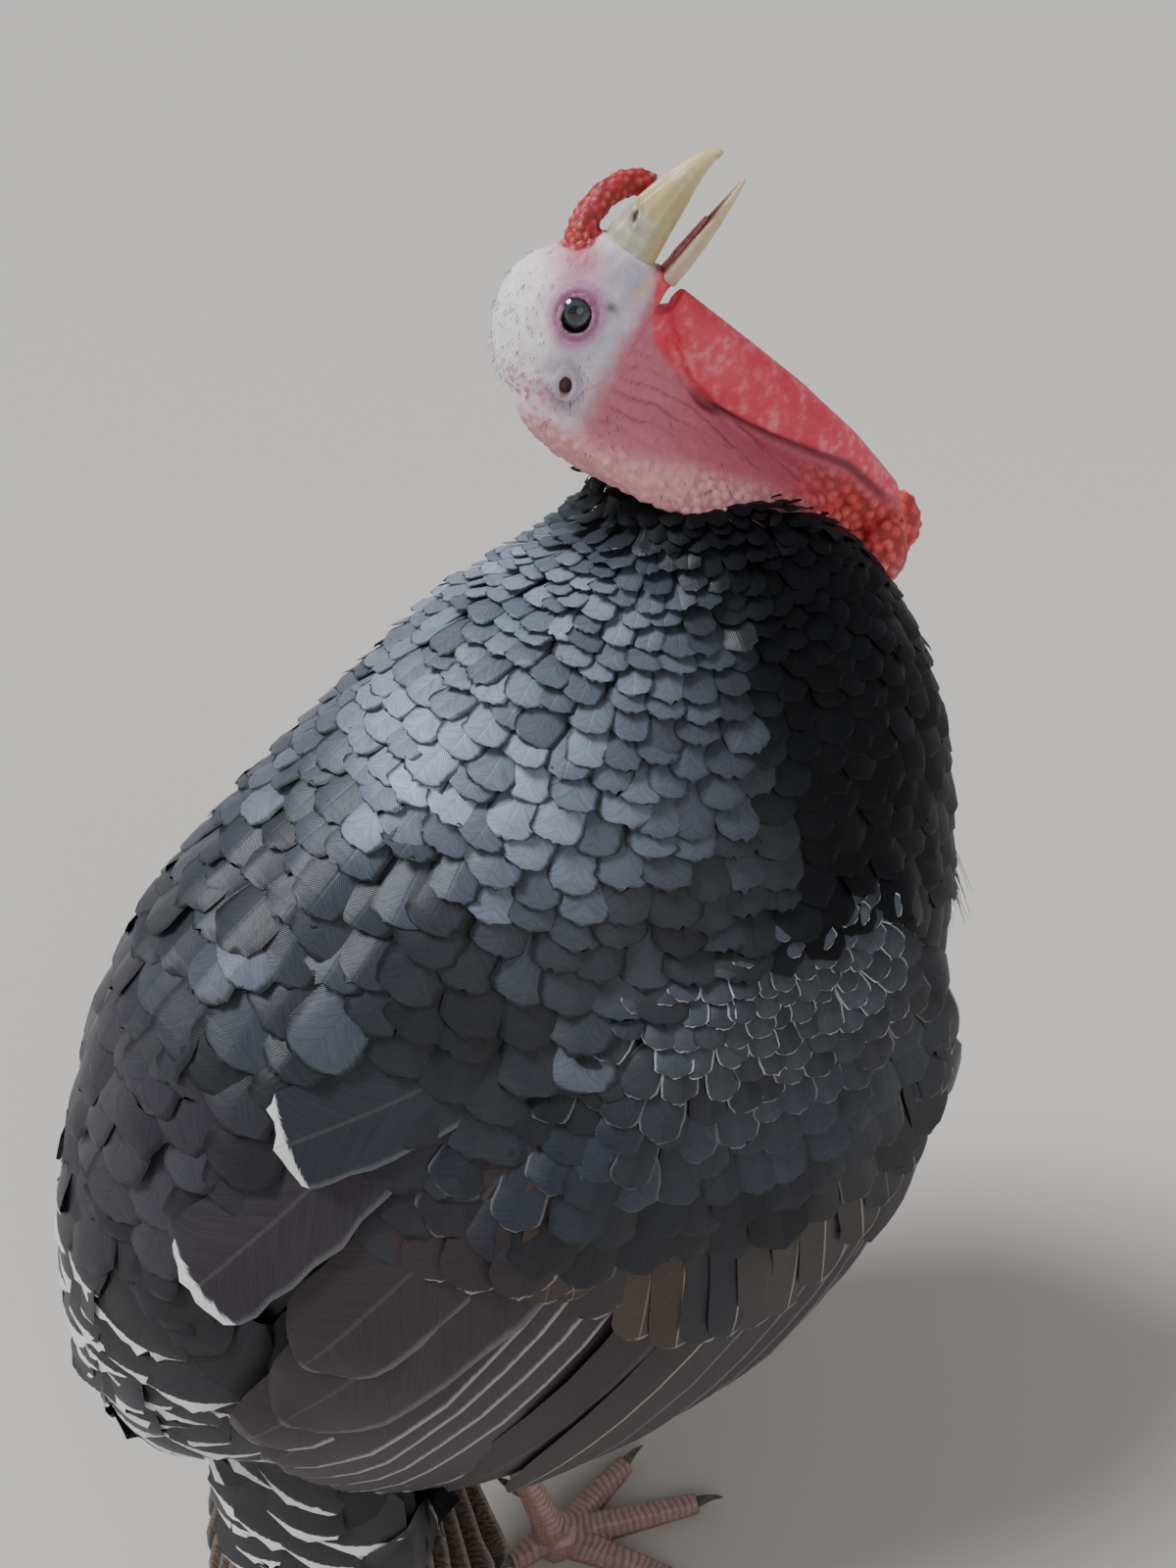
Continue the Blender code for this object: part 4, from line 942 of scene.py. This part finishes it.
def tail_frame(along, turn, lift):
    """Places and normals on the fan, from distance along a feather, its turn in the fan and its height."""
    turn, lift = turn * np.ones_like(along), lift * np.ones_like(along)
    place = np.broadcast_to(TAIL_ROOT, along.shape + (3,)).copy()
    side = np.array([math.sin(TAIL_YAW), -math.cos(TAIL_YAW), 0])
    steps = 12
    for k in range(steps):
        dip = TAIL_DIP[0] + (TAIL_DIP[1] - TAIL_DIP[0]) * (k + 0.5) / steps * along / TAIL_LENGTH
        level = -np.cos(dip)
        ahead = np.stack([level * math.cos(TAIL_YAW), level * math.sin(TAIL_YAW), -np.sin(dip)], -1)
        way = ahead * np.cos(turn)[..., None] + side * np.sin(turn)[..., None]
        place = place + way * (along / steps)[..., None]
    up = np.cross(side, ahead)
    up = up * np.sign(up[..., 2:3])
    line = place + up * (lift - 0.22 * along * (turn / TAIL_SPREAD) ** 2)[..., None]
    return line, up, unit(np.gradient(line, axis=1))


fan = Coat("tail_fan", len(WING_STEPS))
turns = np.radians(np.linspace(-22, 22, TAIL_FEATHERS))
along = WING_STEPS[None] * (TAIL_LENGTH * (1 - 0.22 * (turns / TAIL_SPREAD) ** 2))[:, None]
rank = np.abs(np.arange(TAIL_FEATHERS) - 8.5)
half = 0.029 * blade(0.5, 0.88, 0.45)[None] * np.ones((TAIL_FEATHERS, 1))
tone = mottled(np.tile([0.115, 0.070, 0.045], (TAIL_FEATHERS, 1)), 0.8, 0.4)
fan.add(*tail_frame(along, turns[:, None], (0.002 - 0.0011 * rank)[:, None]), half, 0.001, TIP_CURVE, tone,
        0.15, 0.045, 0.8, np.radians(np.sign(turns) * 1.2), LONG_VANE_THICK, 0.02, 51)
keep(fan.build(), TAIL, ["tail"])

# tail coverts that lie on the fan's root
lying = Coat("tail_coverts_lower", len(BODY_STEPS))
for row in range(5):
    turns = np.radians(np.linspace(-21, 21, 8 - row % 2))
    count = len(turns)
    along = 0.080 - 0.024 * row + 0.062 * BODY_STEPS[None] + 0.004 * rng.normal(size=(count, 1))
    tone = mottled(np.tile(RUMP_TONE, (count, 1)), 0.8, 0.4)
    lying.add(*tail_frame(along, turns[:, None], 0.0035 + 0.0024 * row + 0.004 * BODY_STEPS[None]),
              0.020 * BROAD[None] * np.ones((count, 1)), 0.0020, TIP_CURVE, tone, -0.5, 0.26, 0.0,
              np.radians(rng.normal(0, 3, count)), 0.0005, 0.06, 60 + row)
keep(lying.build(), BODY_FEATHER)

# ---------------------------------------------------------------- skin
HEAD_PARTS = ["head", "neck_bare", "dewlap", "caruncle_left", "caruncle_right", "ear_left", "ear_right",
              "snood"]
UNDER_COAT = 0.0075                                            # depth of the skin below the feathers
FLESH_VOXEL = 0.0011
face = remeshed("face", HEAD_PARTS, FLESH_VOXEL, 0.0004, 2, hull_of(PLUG))
body = remeshed("body_core", CORE + COVERTS, BODY_VOXEL, BODY_GROW, 4, hull_of(COLLAR))
swell(body.data, -UNDER_COAT)
closed(body, BODY_VOXEL)
union = face.modifiers.new("union", "BOOLEAN")
union.operation = "UNION"
union.solver = "EXACT"
union.object = body
skin = evaluated(face)
bpy.data.objects.remove(body, do_unlink=True)
skin.name = "skin"
skin.data.shade_smooth()


def hill(x, centre, width):
    """A smooth hump."""
    return np.exp(-((x - centre) / width) ** 2)


def spot(x, centre_x, z, centre_z, width, squeeze=1.0):
    """A round hump on the side of the head."""
    return hill(np.hypot(x - centre_x, (z - centre_z) * squeeze), 0, width)


def lumps(places, seeds, sizes):
    """Rounded bumps round seeds: 1 on a seed, 0 between. Also says which seed is nearest."""
    tree = points_tree(seeds)
    found = [tree.find(q) for q in places.tolist()]
    which = np.array([f[1] for f in found])
    away = np.array([f[2] for f in found])
    return np.clip(1 - (away / (0.62 * sizes[which])) ** 2, 0, 1), which


points = coords(skin.data)
X, Y, Z = head_cm(points)
near = points[:, 2] > TN[2] + 0.15                             # head and neck
from_middle = points - TN
face_zone = smooth(0.0, 0.012, (from_middle[:, 2] - 0.254) * 0.89 + (from_middle[:, 0] - 0.030) * 0.46)
by_place = np.lexsort(points.T)              # the union gives its vertices in another order each run


def noisy(scale, seed, octaves=2):
    """Smooth noise between -1 and 1 over the head and neck."""
    shift = Vector((seed, seed * 1.7, -seed))
    out = np.zeros(len(points))
    out[near] = [noise.fractal(Vector(q) * scale + shift, 0.6, 2.0, octaves) for q in points[near].tolist()]
    return out


broad_noise, wob, fine_noise = noisy(28.0, 6.0, 1), noisy(90.0, 3.0), noisy(260.0, 9.0)

EYE_CM, EAR_CM, NOSTRIL_CM = (-1.80, 1.88), (-4.35, 0.85), (2.35, 1.75)      # X and Z on the side of the head
EAR_LEAN = (0.89, 0.46)

# lids and the ring round the eye
eye_away = np.sqrt(((X - EYE_CM[0]) / 1.05) ** 2 + ((Z - EYE_CM[1]) / 0.95) ** 2)
on_eye_side = smooth(0.7, 1.0, Y) * (eye_away < 3)
relief = 0.0
for rise, centre, width in ((0.12, 0.70, 0.085), (-0.05, 0.86, 0.07), (0.055, 1.0, 0.08), (0.03, 1.22, 0.09)):
    relief = relief + rise * hill(eye_away, centre, width)
relief = (relief - 0.30 * smooth(0.62, 0.54, eye_away)) * on_eye_side
# ear
dx, dz = X - EAR_CM[0], Z - EAR_CM[1]
ear_x = dx * EAR_LEAN[0] + dz * EAR_LEAN[1]
ear_z = dz * EAR_LEAN[0] - dx * EAR_LEAN[1]
ear_away = np.sqrt((ear_x / 0.40) ** 2 + (ear_z / 0.23) ** 2)
on_ear = smooth(1.2, 1.6, Y) * (ear_away < 6)
relief += (-0.42 * smooth(1.15, 0.45, ear_away) + 0.07 * hill(ear_away, 1.75, 0.45)) * on_ear
# wrinkles along the neck, and the groove where the dewlap starts
groove_x = np.interp(Z, [-16.0, -12.8, -8.5, -5.0, -2.6, -1.57, -0.3],
                     [-2.4, -1.8, -2.3, -2.5, -1.9, -1.5, 0.5])
beyond = X - groove_x                                          # above zero on the dewlap
neck_side = smooth(-0.7, -1.6, Z) * smooth(-0.15, -0.7, beyond) * smooth(-14.5, -11.5, Z)
strand = (X + 0.16 * Z + 0.22 * np.sin(Z * 0.55 + 0.6) + 0.10 * wob + 0.35 * broad_noise) * (2.9 + 0.12 * Z)
fold = np.abs(np.sin(strand * math.pi / 1.35))
broken = smooth(-0.30, 0.30, wob * 0.6 + np.sin(strand * 0.9 + Z * 0.5) * 0.4 + 0.35 * hill(Z, -2.0, 1.6))
crease = smooth(0.34, 0.04, fold) * neck_side * broken
groove = (hill(beyond, -0.12, 0.16) * smooth(-1.6, -3.0, Z) * smooth(-16.6, -15.0, Z)
          * smooth(0.2, 0.6, Y + (Z < -6)))
relief += -0.075 * crease
relief += -0.16 * groove
# rim of flesh round the bill
bill_trees = [tree_of(NODES[n].data) for n in ("bill_upper", "bill_lower")]
at_bill = np.where((X > 0.3) & (X < 2.2) & (Z > -1.5) & (Z < 2.9))[0]
bill_away = np.full(len(points), 0.05)
bill_away[at_bill] = np.minimum(*(distances(tree, points[at_bill]) for tree in bill_trees))
relief += 0.085 * smooth(0.0032, 0.0008, bill_away)
swell(skin.data, relief / 100)

# caruncles
at_top = np.where((Z > 1.5) & (X > -1.0) & (X < 6))[0]
snood_away = np.ones(len(points))
snood_away[at_top] = distances(tree_of(NODES["snood"].data), points[at_top])
on_snood = smooth(0.0035, 0.0012, snood_away)
snood_base = spot(X, 0.2, Z, 2.9, 0.75) * (snood_away < 0.02)
lobe = smooth(-9.0, -14.5, Z) * smooth(-0.1, -0.9, beyond)
lobe = np.maximum(lobe, smooth(-14.6, -16.0, Z) * smooth(0.2, -0.6, beyond) + (Z < -17.3))
lobe = np.clip(lobe, 0, 1)
edge_line = np.interp(Z, [-16.0, -12.3, -8.6, -5.7, -3.25, -1.3, 0.4, 1.5],
                      [-5.0, -4.75, -4.95, -5.3, -5.8, -6.2, -6.5, -6.9])
low_edge = smooth(0.95, 0.15, X - edge_line + 0.25 * broad_noise) * smooth(2.2, 0.8, Z)
nape = spot(X, -5.6, Z, 2.1, 1.3, 0.8)
bump_size = np.full(len(points), 0.0030)
bump_size[low_edge > 0.3] = 0.0040
bump_size[lobe > 0.3] = 0.0050
bump_size[(on_snood > 0.2) | (snood_base > 0.3)] = 0.0027
bumpy = np.clip(0.075 * on_snood + 0.05 * snood_base + 0.14 * lobe + 0.085 * low_edge + 0.05 * nape, 0, 0.15)
candidates = by_place[(near & (bumpy > 0.004))[by_place]]
points = coords(skin.data)
seeds = candidates[thinned(points[candidates], bump_size[candidates], 11)]
height = np.zeros(len(points))
height[candidates], which = lumps(points[candidates], points[seeds], bump_size[seeds])
height[candidates] *= (0.25 + 1.1 * np.random.default_rng(12).random(len(seeds)))[which]
swell(skin.data, (height - 0.35) * bumpy / 100)

XX, ZZ = X + 0.25 * wob, Z + 0.25 * wob                        # for soft, uneven borders
below = smooth(0.25, -1.15, ZZ + 0.35 * broad_noise - 0.12 * smooth(-3, -5, X)) * smooth(0.6, 0.2, X - 0.3)
mouth_strip = smooth(0.30, 0.12, np.abs(Z - 0.10 + 0.05 * X)) * smooth(-0.5, 0.1, X)
dewlap = smooth(-0.05, 0.25, beyond) * smooth(-0.15, -0.55, Z - 0.2 * X * (X > 0)) * smooth(-17.4, -16.6, Z)
pale_mottles_and_highlights = smooth(-0.1, 0.7, fine_noise + 0.5 * wob + 0.3 * broad_noise)
# paler tops of the bumps, partly painted highlight, and painted shade in the hollows between them
tops = smooth(0.50, 0.95, height) * np.clip(on_snood + snood_base + lobe + low_edge, 0, 1)
between = smooth(0.30, 0.05, height) * np.clip(lobe + 0.6 * low_edge * (Z < -6) + on_snood, 0, 1)
colour = layered((226, 218, 232), [
    # crown, forehead, cheek, temple and the side of the head behind them
    (smooth(1.6, 2.6, ZZ), (252, 247, 250)),
    (0.75 * spot(XX, -0.5, ZZ, 2.7, 1.3), (206, 142, 172)),
    (0.55 * spot(XX, 0.4, ZZ, 0.8, 0.9), (150, 152, 176)),
    (0.45 * spot(XX, -2.2, ZZ, 0.3, 1.0), (186, 196, 222)),
    (0.6 * spot(XX, -5.4, ZZ, 0.6, 1.6), (216, 178, 186)),
    # throat and neck
    (below, (204, 120, 140)),
    (below * smooth(-2.0, -9.0, ZZ) * 0.8, (190, 84, 104)),
    # round the eye, with painted shade in the lid's opening and in the fold round the lid
    (0.85 * hill(eye_away, 0.98, 0.30) * on_eye_side, (196, 132, 172)),
    (0.9 * hill(eye_away, 0.74, 0.10) * on_eye_side, (168, 84, 128)),
    (smooth(0.68, 0.60, eye_away) * on_eye_side, (58, 34, 52)),
    (0.5 * hill(eye_away, 0.86, 0.06) * on_eye_side, (120, 60, 100)),
    (0.9 * spot(X, -0.85, Z, 0.85, 0.20, 0.7) * (Y > 0.5), (84, 80, 104)),
    # ear, with painted shade in its opening, and the corner of the mouth
    (0.70 * hill(ear_away, 2.1, 0.9) * on_ear, (158, 152, 178)),
    (0.85 * smooth(1.45, 0.55, ear_away + 0.2 * fine_noise) * on_ear, (84, 56, 66)),
    (0.8 * mouth_strip, (222, 196, 170)),
    # dewlap and the lobes below it
    (dewlap, (236, 84, 104)),
    # pale mottles on the dewlap: partly the skin's own colour, partly painted highlight
    (dewlap * pale_mottles_and_highlights * 0.42, (246, 170, 178)),
    (dewlap * smooth(0.1, 0.6, -broad_noise - 0.4 * wob) * 0.40, (208, 40, 62)),
    (lobe, (220, 72, 74)),
    # painted shade: darker colour in the neck's wrinkles and deep red in the groove at the foot of the dewlap
    (crease * 0.6, (160, 62, 80)),
    (groove * 0.85, (112, 16, 30)),
    # caruncles and the snood: base, tops of the bumps (paler skin with a painted highlight), and painted
    # shade in what lies between them
    (low_edge * (1 - 0.8 * lobe), (222, 160, 164)),
    (on_snood + 0.7 * snood_base, (182, 52, 56)),
    (nape * smooth(0.35, 0.8, height) * 0.8, (204, 96, 100)),
    (tops * (0.38 + 0.25 * wob), (236, 160, 154)),
    (between * 0.6, (122, 18, 26)),
])
colour = lay(colour * (1 + 0.10 * fine_noise)[:, None], 1 - face_zone, BLACK * 0.6)
paint(skin.data, "tint", np.clip(colour, 0.002, 1))

m = Nodes("skin_surface")
veins = m.noise(420.0, 4.0, 0.65)
tint = m.darker(m.ramp(veins, 0.35, 0.75, 0.0, 0.35), m.attribute("tint", "Color"), (0.80, 0.62, 0.66))
grain = m.plus(m.times(m.cells(1100.0), 0.6), m.times(m.noise(1500.0, 3.0, 0.6), 0.7))
m.set(Base_Color=tint, Roughness=m.ramp(veins, 0.2, 0.8, 0.38, 0.55), Specular_IOR_Level=0.45,
      Subsurface_Weight=0.12, Subsurface_Scale=0.003)
keep(skin, m.bump(grain, 0.35, 0.0006), CORE + COVERTS + HEAD_PARTS)

# ---------------------------------------------------------------- eyes
EYE_RADIUS = 0.0083


def eyeball(name, side):
    """Globe with its iris and pupil as rings of colour round the eye's own axis."""
    bm = bmesh.new()
    bmesh.ops.create_uvsphere(bm, u_segments=48, v_segments=32, radius=EYE_RADIUS)
    mesh = mesh_of(name, bm)
    local = coords(mesh)
    off = np.hypot(local[:, 0], local[:, 1])
    front = local[:, 2] > 0
    local[:, 2] += np.where(front, 0.0006 * hill(off, 0, 0.0035), 0)
    paint(mesh, "ring", np.where(front, off / EYE_RADIUS, 1.0))
    axis = unit(np.array([0.10, side * 1.0, 0.12]))
    x = unit(np.cross([0, 0, 1.0], axis))
    y = np.cross(axis, x)
    centre = np.array([EYE.x, side * EYE.y, EYE.z])
    set_coords(mesh, head(local @ np.array([x, y, axis]) + centre))
    mesh.shade_smooth()
    return link(name, mesh)


m = Nodes("eye_surface")
ring_at = m.attribute("ring")
iris = m.mix(m.ramp(m.noise(900.0, 3.0, 0.6), 0.3, 0.7), (0.016, 0.020, 0.030), (0.050, 0.058, 0.078))
iris = m.mix(m.ramp(ring_at, 0.56, 0.66), iris, (0.012, 0.010, 0.014))
m.set(Base_Color=m.mix(m.ramp(ring_at, 0.36, 0.41), (0.003, 0.003, 0.004), iris), Roughness=0.06,
      Coat_Weight=1.0, Coat_Roughness=0.02)
for word, side in (("right", -1), ("left", 1)):
    keep(eyeball("eye_globe_" + word, side), m.material, ["eye_" + word])


# ---------------------------------------------------------------- bill
def fine(name, node, voxel, rounds):
    made = remeshed(name, [node], voxel, 0.0, rounds)
    made.data.shade_smooth()
    return made


upper = fine("upper_bill", "bill_upper", 0.00055, 3)
points = coords(upper.data)
X, Y, Z = head_cm(points)
dx, dz = X - NOSTRIL_CM[0], Z - NOSTRIL_CM[1]
nostril = np.hypot(dx + 0.35 * dz, (dz - 0.35 * dx) * 2.6)
nostril = nostril * np.where(Y > 0.15, 1, 9)
cere = smooth(3.0, 2.2, X) * smooth(0.5, 1.0, Z)
middle = 1 - smooth(0.0, 0.16, Y)
relief = 0.05 * middle * smooth(1.5, 3.5, X)
relief -= 0.035 * hill(Y, 0.30, 0.12) * smooth(2.4, 4.0, X) * smooth(6.0, 4.5, X)
relief += -0.13 * smooth(0.42, 0.14, nostril) + 0.035 * hill(nostril, 0.55, 0.16)
relief += 0.03 * cere * np.sin(X * 9)
hook = -0.0016 * np.clip((X - 4.6) / 1.4, 0, 1.2) ** 2
swell(upper.data, relief / 100)
set_coords(upper.data, coords(upper.data) + hook[:, None] * HEAD[:, 2])
paint(upper.data, "tint", layered((196, 178, 130), [
    (smooth(3.5, 6.0, X), (222, 200, 146)),
    (cere, (190, 186, 166)),
    (smooth(0.45, 0.10, Z - 0.02 * X) * 0.6, (214, 198, 160)),
    # painted shade inside the nostril
    (smooth(0.36, 0.16, nostril), (58, 44, 36)),
    (0.5 * hill(nostril, 0.52, 0.12), (150, 140, 110)),
    (smooth(1.2, 0.4, X) * smooth(1.2, 0.6, Z) * 0.6, (196, 170, 160)),
]))
lower = fine("lower_bill", "bill_lower", 0.00055, 3)
X, Y, Z = head_cm(coords(lower.data))
hollow = (normals(lower.data) @ HEAD)[:, 2] > 0.3
paint(lower.data, "tint", layered((206, 184, 158), [
    (smooth(3.2, 5.6, X), (226, 204, 170)),
    (smooth(1.8, 0.6, X), (206, 150, 150)),
    (hollow * smooth(5.0, 3.6, X) * (Y < 0.5) * 0.8, (150, 66, 74)),
]))
m = Nodes("bill_surface")
grow = m.noise(300.0, 4.0, 0.6)
horn = m.darker(m.ramp(grow, 0.35, 0.75, 0.0, 0.45), m.attribute("tint", "Color"), (0.66, 0.60, 0.50))
m.set(Base_Color=horn, Roughness=m.ramp(grow, 0.2, 0.8, 0.28, 0.48), Subsurface_Weight=0.1,
      Subsurface_Scale=0.002)
m.bump(m.noise(700.0, 4.0, 0.6), 0.25, 0.0005)
keep(upper, m.material, ["bill_upper"])
keep(lower, m.material, ["bill_lower"])

# ---------------------------------------------------------------- tongue
m = Nodes("tongue_surface")
m.set(Base_Color=m.mix(m.ramp(m.noise(500.0), 0.3, 0.7), (0.42, 0.10, 0.13), (0.62, 0.24, 0.26)),
      Roughness=0.3, Subsurface_Weight=0.2, Subsurface_Scale=0.002)
m.bump(m.cells(1400.0), 0.3, 0.0004)
keep(fine("tongue_fine", "tongue", 0.0005, 2), m.material, ["tongue"])

# ---------------------------------------------------------------- bristles
m = Nodes("bristle_surface")
m.set(Base_Color=m.mix(m.noise(200.0), (0.006, 0.005, 0.005), (0.030, 0.022, 0.018)), Roughness=0.45)
BRISTLE = m.material


def strands(name, starts, ways, lengths, radius, sag, sides, rows, seed):
    """Thin tapering hairs in one mesh."""
    r = np.random.default_rng(seed)
    count = len(starts)
    share = np.linspace(0, 1, rows)
    turn = np.linspace(0, 2 * math.pi, sides, endpoint=False)
    bend = sag + 0.15 * unit(r.normal(size=(count, 3)))
    line = (starts[:, None] + ways[:, None] * (lengths[:, None] * share)[..., None]
            + bend[:, None] * (lengths[:, None] * share ** 2)[..., None])
    ahead = unit(np.gradient(line, axis=1))
    x = unit(np.cross(ahead, [0.31, 0.52, 0.79]))[:, :, None]
    y = np.cross(ahead, x[:, :, 0])[:, :, None]
    around = x * np.cos(turn)[:, None] + y * np.sin(turn)[:, None]
    thick = radius * (1 - 0.75 * share ** 2)
    points = line[:, :, None] + around * thick[None, :, None, None]
    per = rows * sides
    faces = []
    for i in range(rows - 1):
        for k in range(sides):
            n = (k + 1) % sides
            faces.append((i * sides + k, i * sides + n, (i + 1) * sides + n, (i + 1) * sides + k))
    faces.append(tuple(range(sides))[::-1])
    faces.append(tuple(range(per - sides, per)))
    mesh = bpy.data.meshes.new(name)
    mesh.from_pydata(points.reshape(-1, 3).tolist(), [],
                     [[i + strand * per for i in face] for strand in range(count) for face in faces])
    mesh.shade_smooth()
    patch = np.stack([np.tile(turn / 6.3 - 0.5, rows), np.repeat(share, sides) - 0.5], 1)
    unwrap(mesh, coat_place(starts)[:, None] + UV_PATCH * patch[None])
    keep(link(name, mesh), BRISTLE)


points, out_way = coords(skin.data), normals(skin.data)
X, Y, Z = head_cm(points)
r = np.random.default_rng(71)
chance = np.empty(len(points))
chance[by_place] = r.random(len(points))
wanted = (0.9 * smooth(1.6, 3.2, Z) * smooth(-6.2, -5.0, X) * smooth(0.3, -0.6, X)
          + 0.35 * spot(X, -4.3, Z, 0.8, 1.1) + 0.25 * (Z < 1) * (Z > -8) * (X > -6.2) * (X < -3.4))
wanted *= (eye_away > 1.5) & (X < 0.3) & (points[:, 2] > TN[2] + 0.25)
pick = by_place[(chance < 0.100 * wanted)[by_place]]
back = unit(HEAD @ np.array([-0.9, 0, -0.3]))
ways = unit(out_way[pick] * 0.55 + back[None] + 0.25 * r.normal(size=(len(pick), 3)))
lengths = 0.0020 + 0.0036 * r.random(len(pick)) ** 2
strands("face_bristles", points[pick] - out_way[pick] * 0.0004, ways, lengths, 0.00012, np.zeros((1, 3)), 4,
        4, 72)

# the beard follows the bowed middle line of its CAD node
BEARD_HAIRS = 260
beard = coords(NODES["beard"].data)
order = np.argsort(beard[:, 2])
tip_at, root_at = beard[order[:6]].mean(0), beard[order[-10:]].mean(0)
middle = (tip_at + root_at) / 2
axis = unit(tip_at - root_at)
off = r.normal(size=(BEARD_HAIRS, 3)) * 0.0035
off -= axis * (off @ axis)[:, None]
starts = root_at + off * 0.8 - axis * 0.004
ways = tip_at + off * 1.3 - starts
lengths = np.linalg.norm(ways, axis=1) * (0.80 + 0.22 * r.random(BEARD_HAIRS))
bowed = beard[np.argsort(np.abs((beard - middle) @ axis))[:10]].mean(0)
bow = (bowed - middle) / np.linalg.norm(tip_at - root_at) * 4
strands("beard_bristles", starts, unit(ways) + bow[None], lengths, 0.00045, -bow[None], 5, 9, 73)
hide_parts("beard")

# ---------------------------------------------------------------- legs
m = Nodes("claw_surface")
m.set(Base_Color=m.mix(m.ramp(m.noise(240.0, 4.0), 0.3, 0.7), (0.045, 0.033, 0.027), (0.15, 0.11, 0.085)),
      Roughness=0.32)
CLAW = m.bump(m.noise(900.0, 3.0), 0.25, 0.0004)
m = Nodes("scale_surface")
dirt = m.noise(160.0, 4.0, 0.65)
m.set(Base_Color=m.mix(m.ramp(dirt, 0.4, 0.8, 0.0, 0.55), m.attribute("tint", "Color"), (0.13, 0.085, 0.070)),
      Roughness=m.ramp(dirt, 0.2, 0.8, 0.38, 0.62))
SCALE = m.bump(m.noise(1200.0, 3.0, 0.6), 0.25, 0.0004)
for word, sign in (("right", -1), ("left", 1)):
    nodes = ["shank_" + word, "foot_" + word]
    leg = remeshed("leg_" + word, nodes, FLESH_VOXEL, 0.0003, 1)
    points, out_way = coords(leg.data), normals(leg.data)
    toes = points[:, 2] < 0.030
    ball = np.array([TN[0] - 0.030, sign * 0.074])
    run = np.where(toes, np.hypot(points[:, 0] - ball[0], points[:, 1] - ball[1]), points[:, 2])
    front = np.where(toes, smooth(0.2, 0.7, out_way[:, 2]), smooth(-0.1, 0.5, out_way[:, 0]))
    pitch = np.where(toes, 0.0046, 0.0062)
    scute = np.abs(np.sin((run / pitch + 0.25 * np.sin(points[:, 1] * 300)) * math.pi)) ** 0.5
    seeds = thinned(points, 0.0022, 15)
    small, _ = lumps(points, points[seeds], np.full(len(seeds), 0.0026))
    relief = front * scute + (1 - front) * small * 0.7
    sole = smooth(0.35, 0.75, -out_way[:, 2]) * (points[:, 2] < 0.006)
    swell(leg.data, relief * (1 - sole) * 0.00055)
    paint(leg.data, "tint", layered((176, 138, 134), [
        ((1 - relief) * 0.65, (96, 62, 62)),
        (front * smooth(0.6, 1.0, scute) * 0.4, (204, 172, 166)),
        (sole * 0.6, (120, 84, 80)),
    ]))
    leg.data.shade_smooth()
    keep(leg, SCALE, nodes)
    for toe in ("back", "inner", "middle", "outer"):
        node = "claw_" + toe + "_" + word
        keep(fine("claw_" + toe + "_fine_" + word, node, 0.0005, 1), CLAW, [node])
    keep(fine("spur_fine_" + word, "spur_" + word, 0.0006, 2), CLAW, ["spur_" + word])

bpy.data.objects.remove(hull, do_unlink=True)

# ---------------------------------------------------------------- stage
FLOOR_HALF = 60
bm = bmesh.new()
bmesh.ops.create_grid(bm, x_segments=1, y_segments=1, size=FLOOR_HALF)
floor = link("floor", mesh_of("floor", bm))
ground = Nodes("floor_surface")
ground.set(Base_Color=(0.60, 0.57, 0.53), Roughness=0.85)
floor.data.materials.append(ground.material)


def light(name, kind, power, colour, way):
    """A lamp that shines the given way; returns the object."""
    lamp = bpy.data.lights.new(name, kind)
    lamp.energy = power
    lamp.color = colour
    made = link(name, lamp)
    made.rotation_euler = Vector(way).to_track_quat("-Z", "Y").to_euler()
    return made


sun = light("key", "SUN", 3.5, (0.95, 0.97, 1.0), (1.0, -0.30, -1.45))
sun.data.angle = math.radians(22)
fill_at = Vector((0.4, -2.2, 1.6))
fill = light("fill", "AREA", 10, (1.0, 0.97, 0.93), Vector((0, 0, 0.4)) - fill_at)
fill.location = fill_at
fill.data.shape = "DISK"
fill.data.size = 2.0
world = bpy.data.worlds.new("studio")
SCENE.world = world
world.use_nodes = True
background = world.node_tree.nodes["Background"]
background.inputs["Color"].default_value = (0.80, 0.82, 0.85, 1)
background.inputs["Strength"].default_value = 0.40
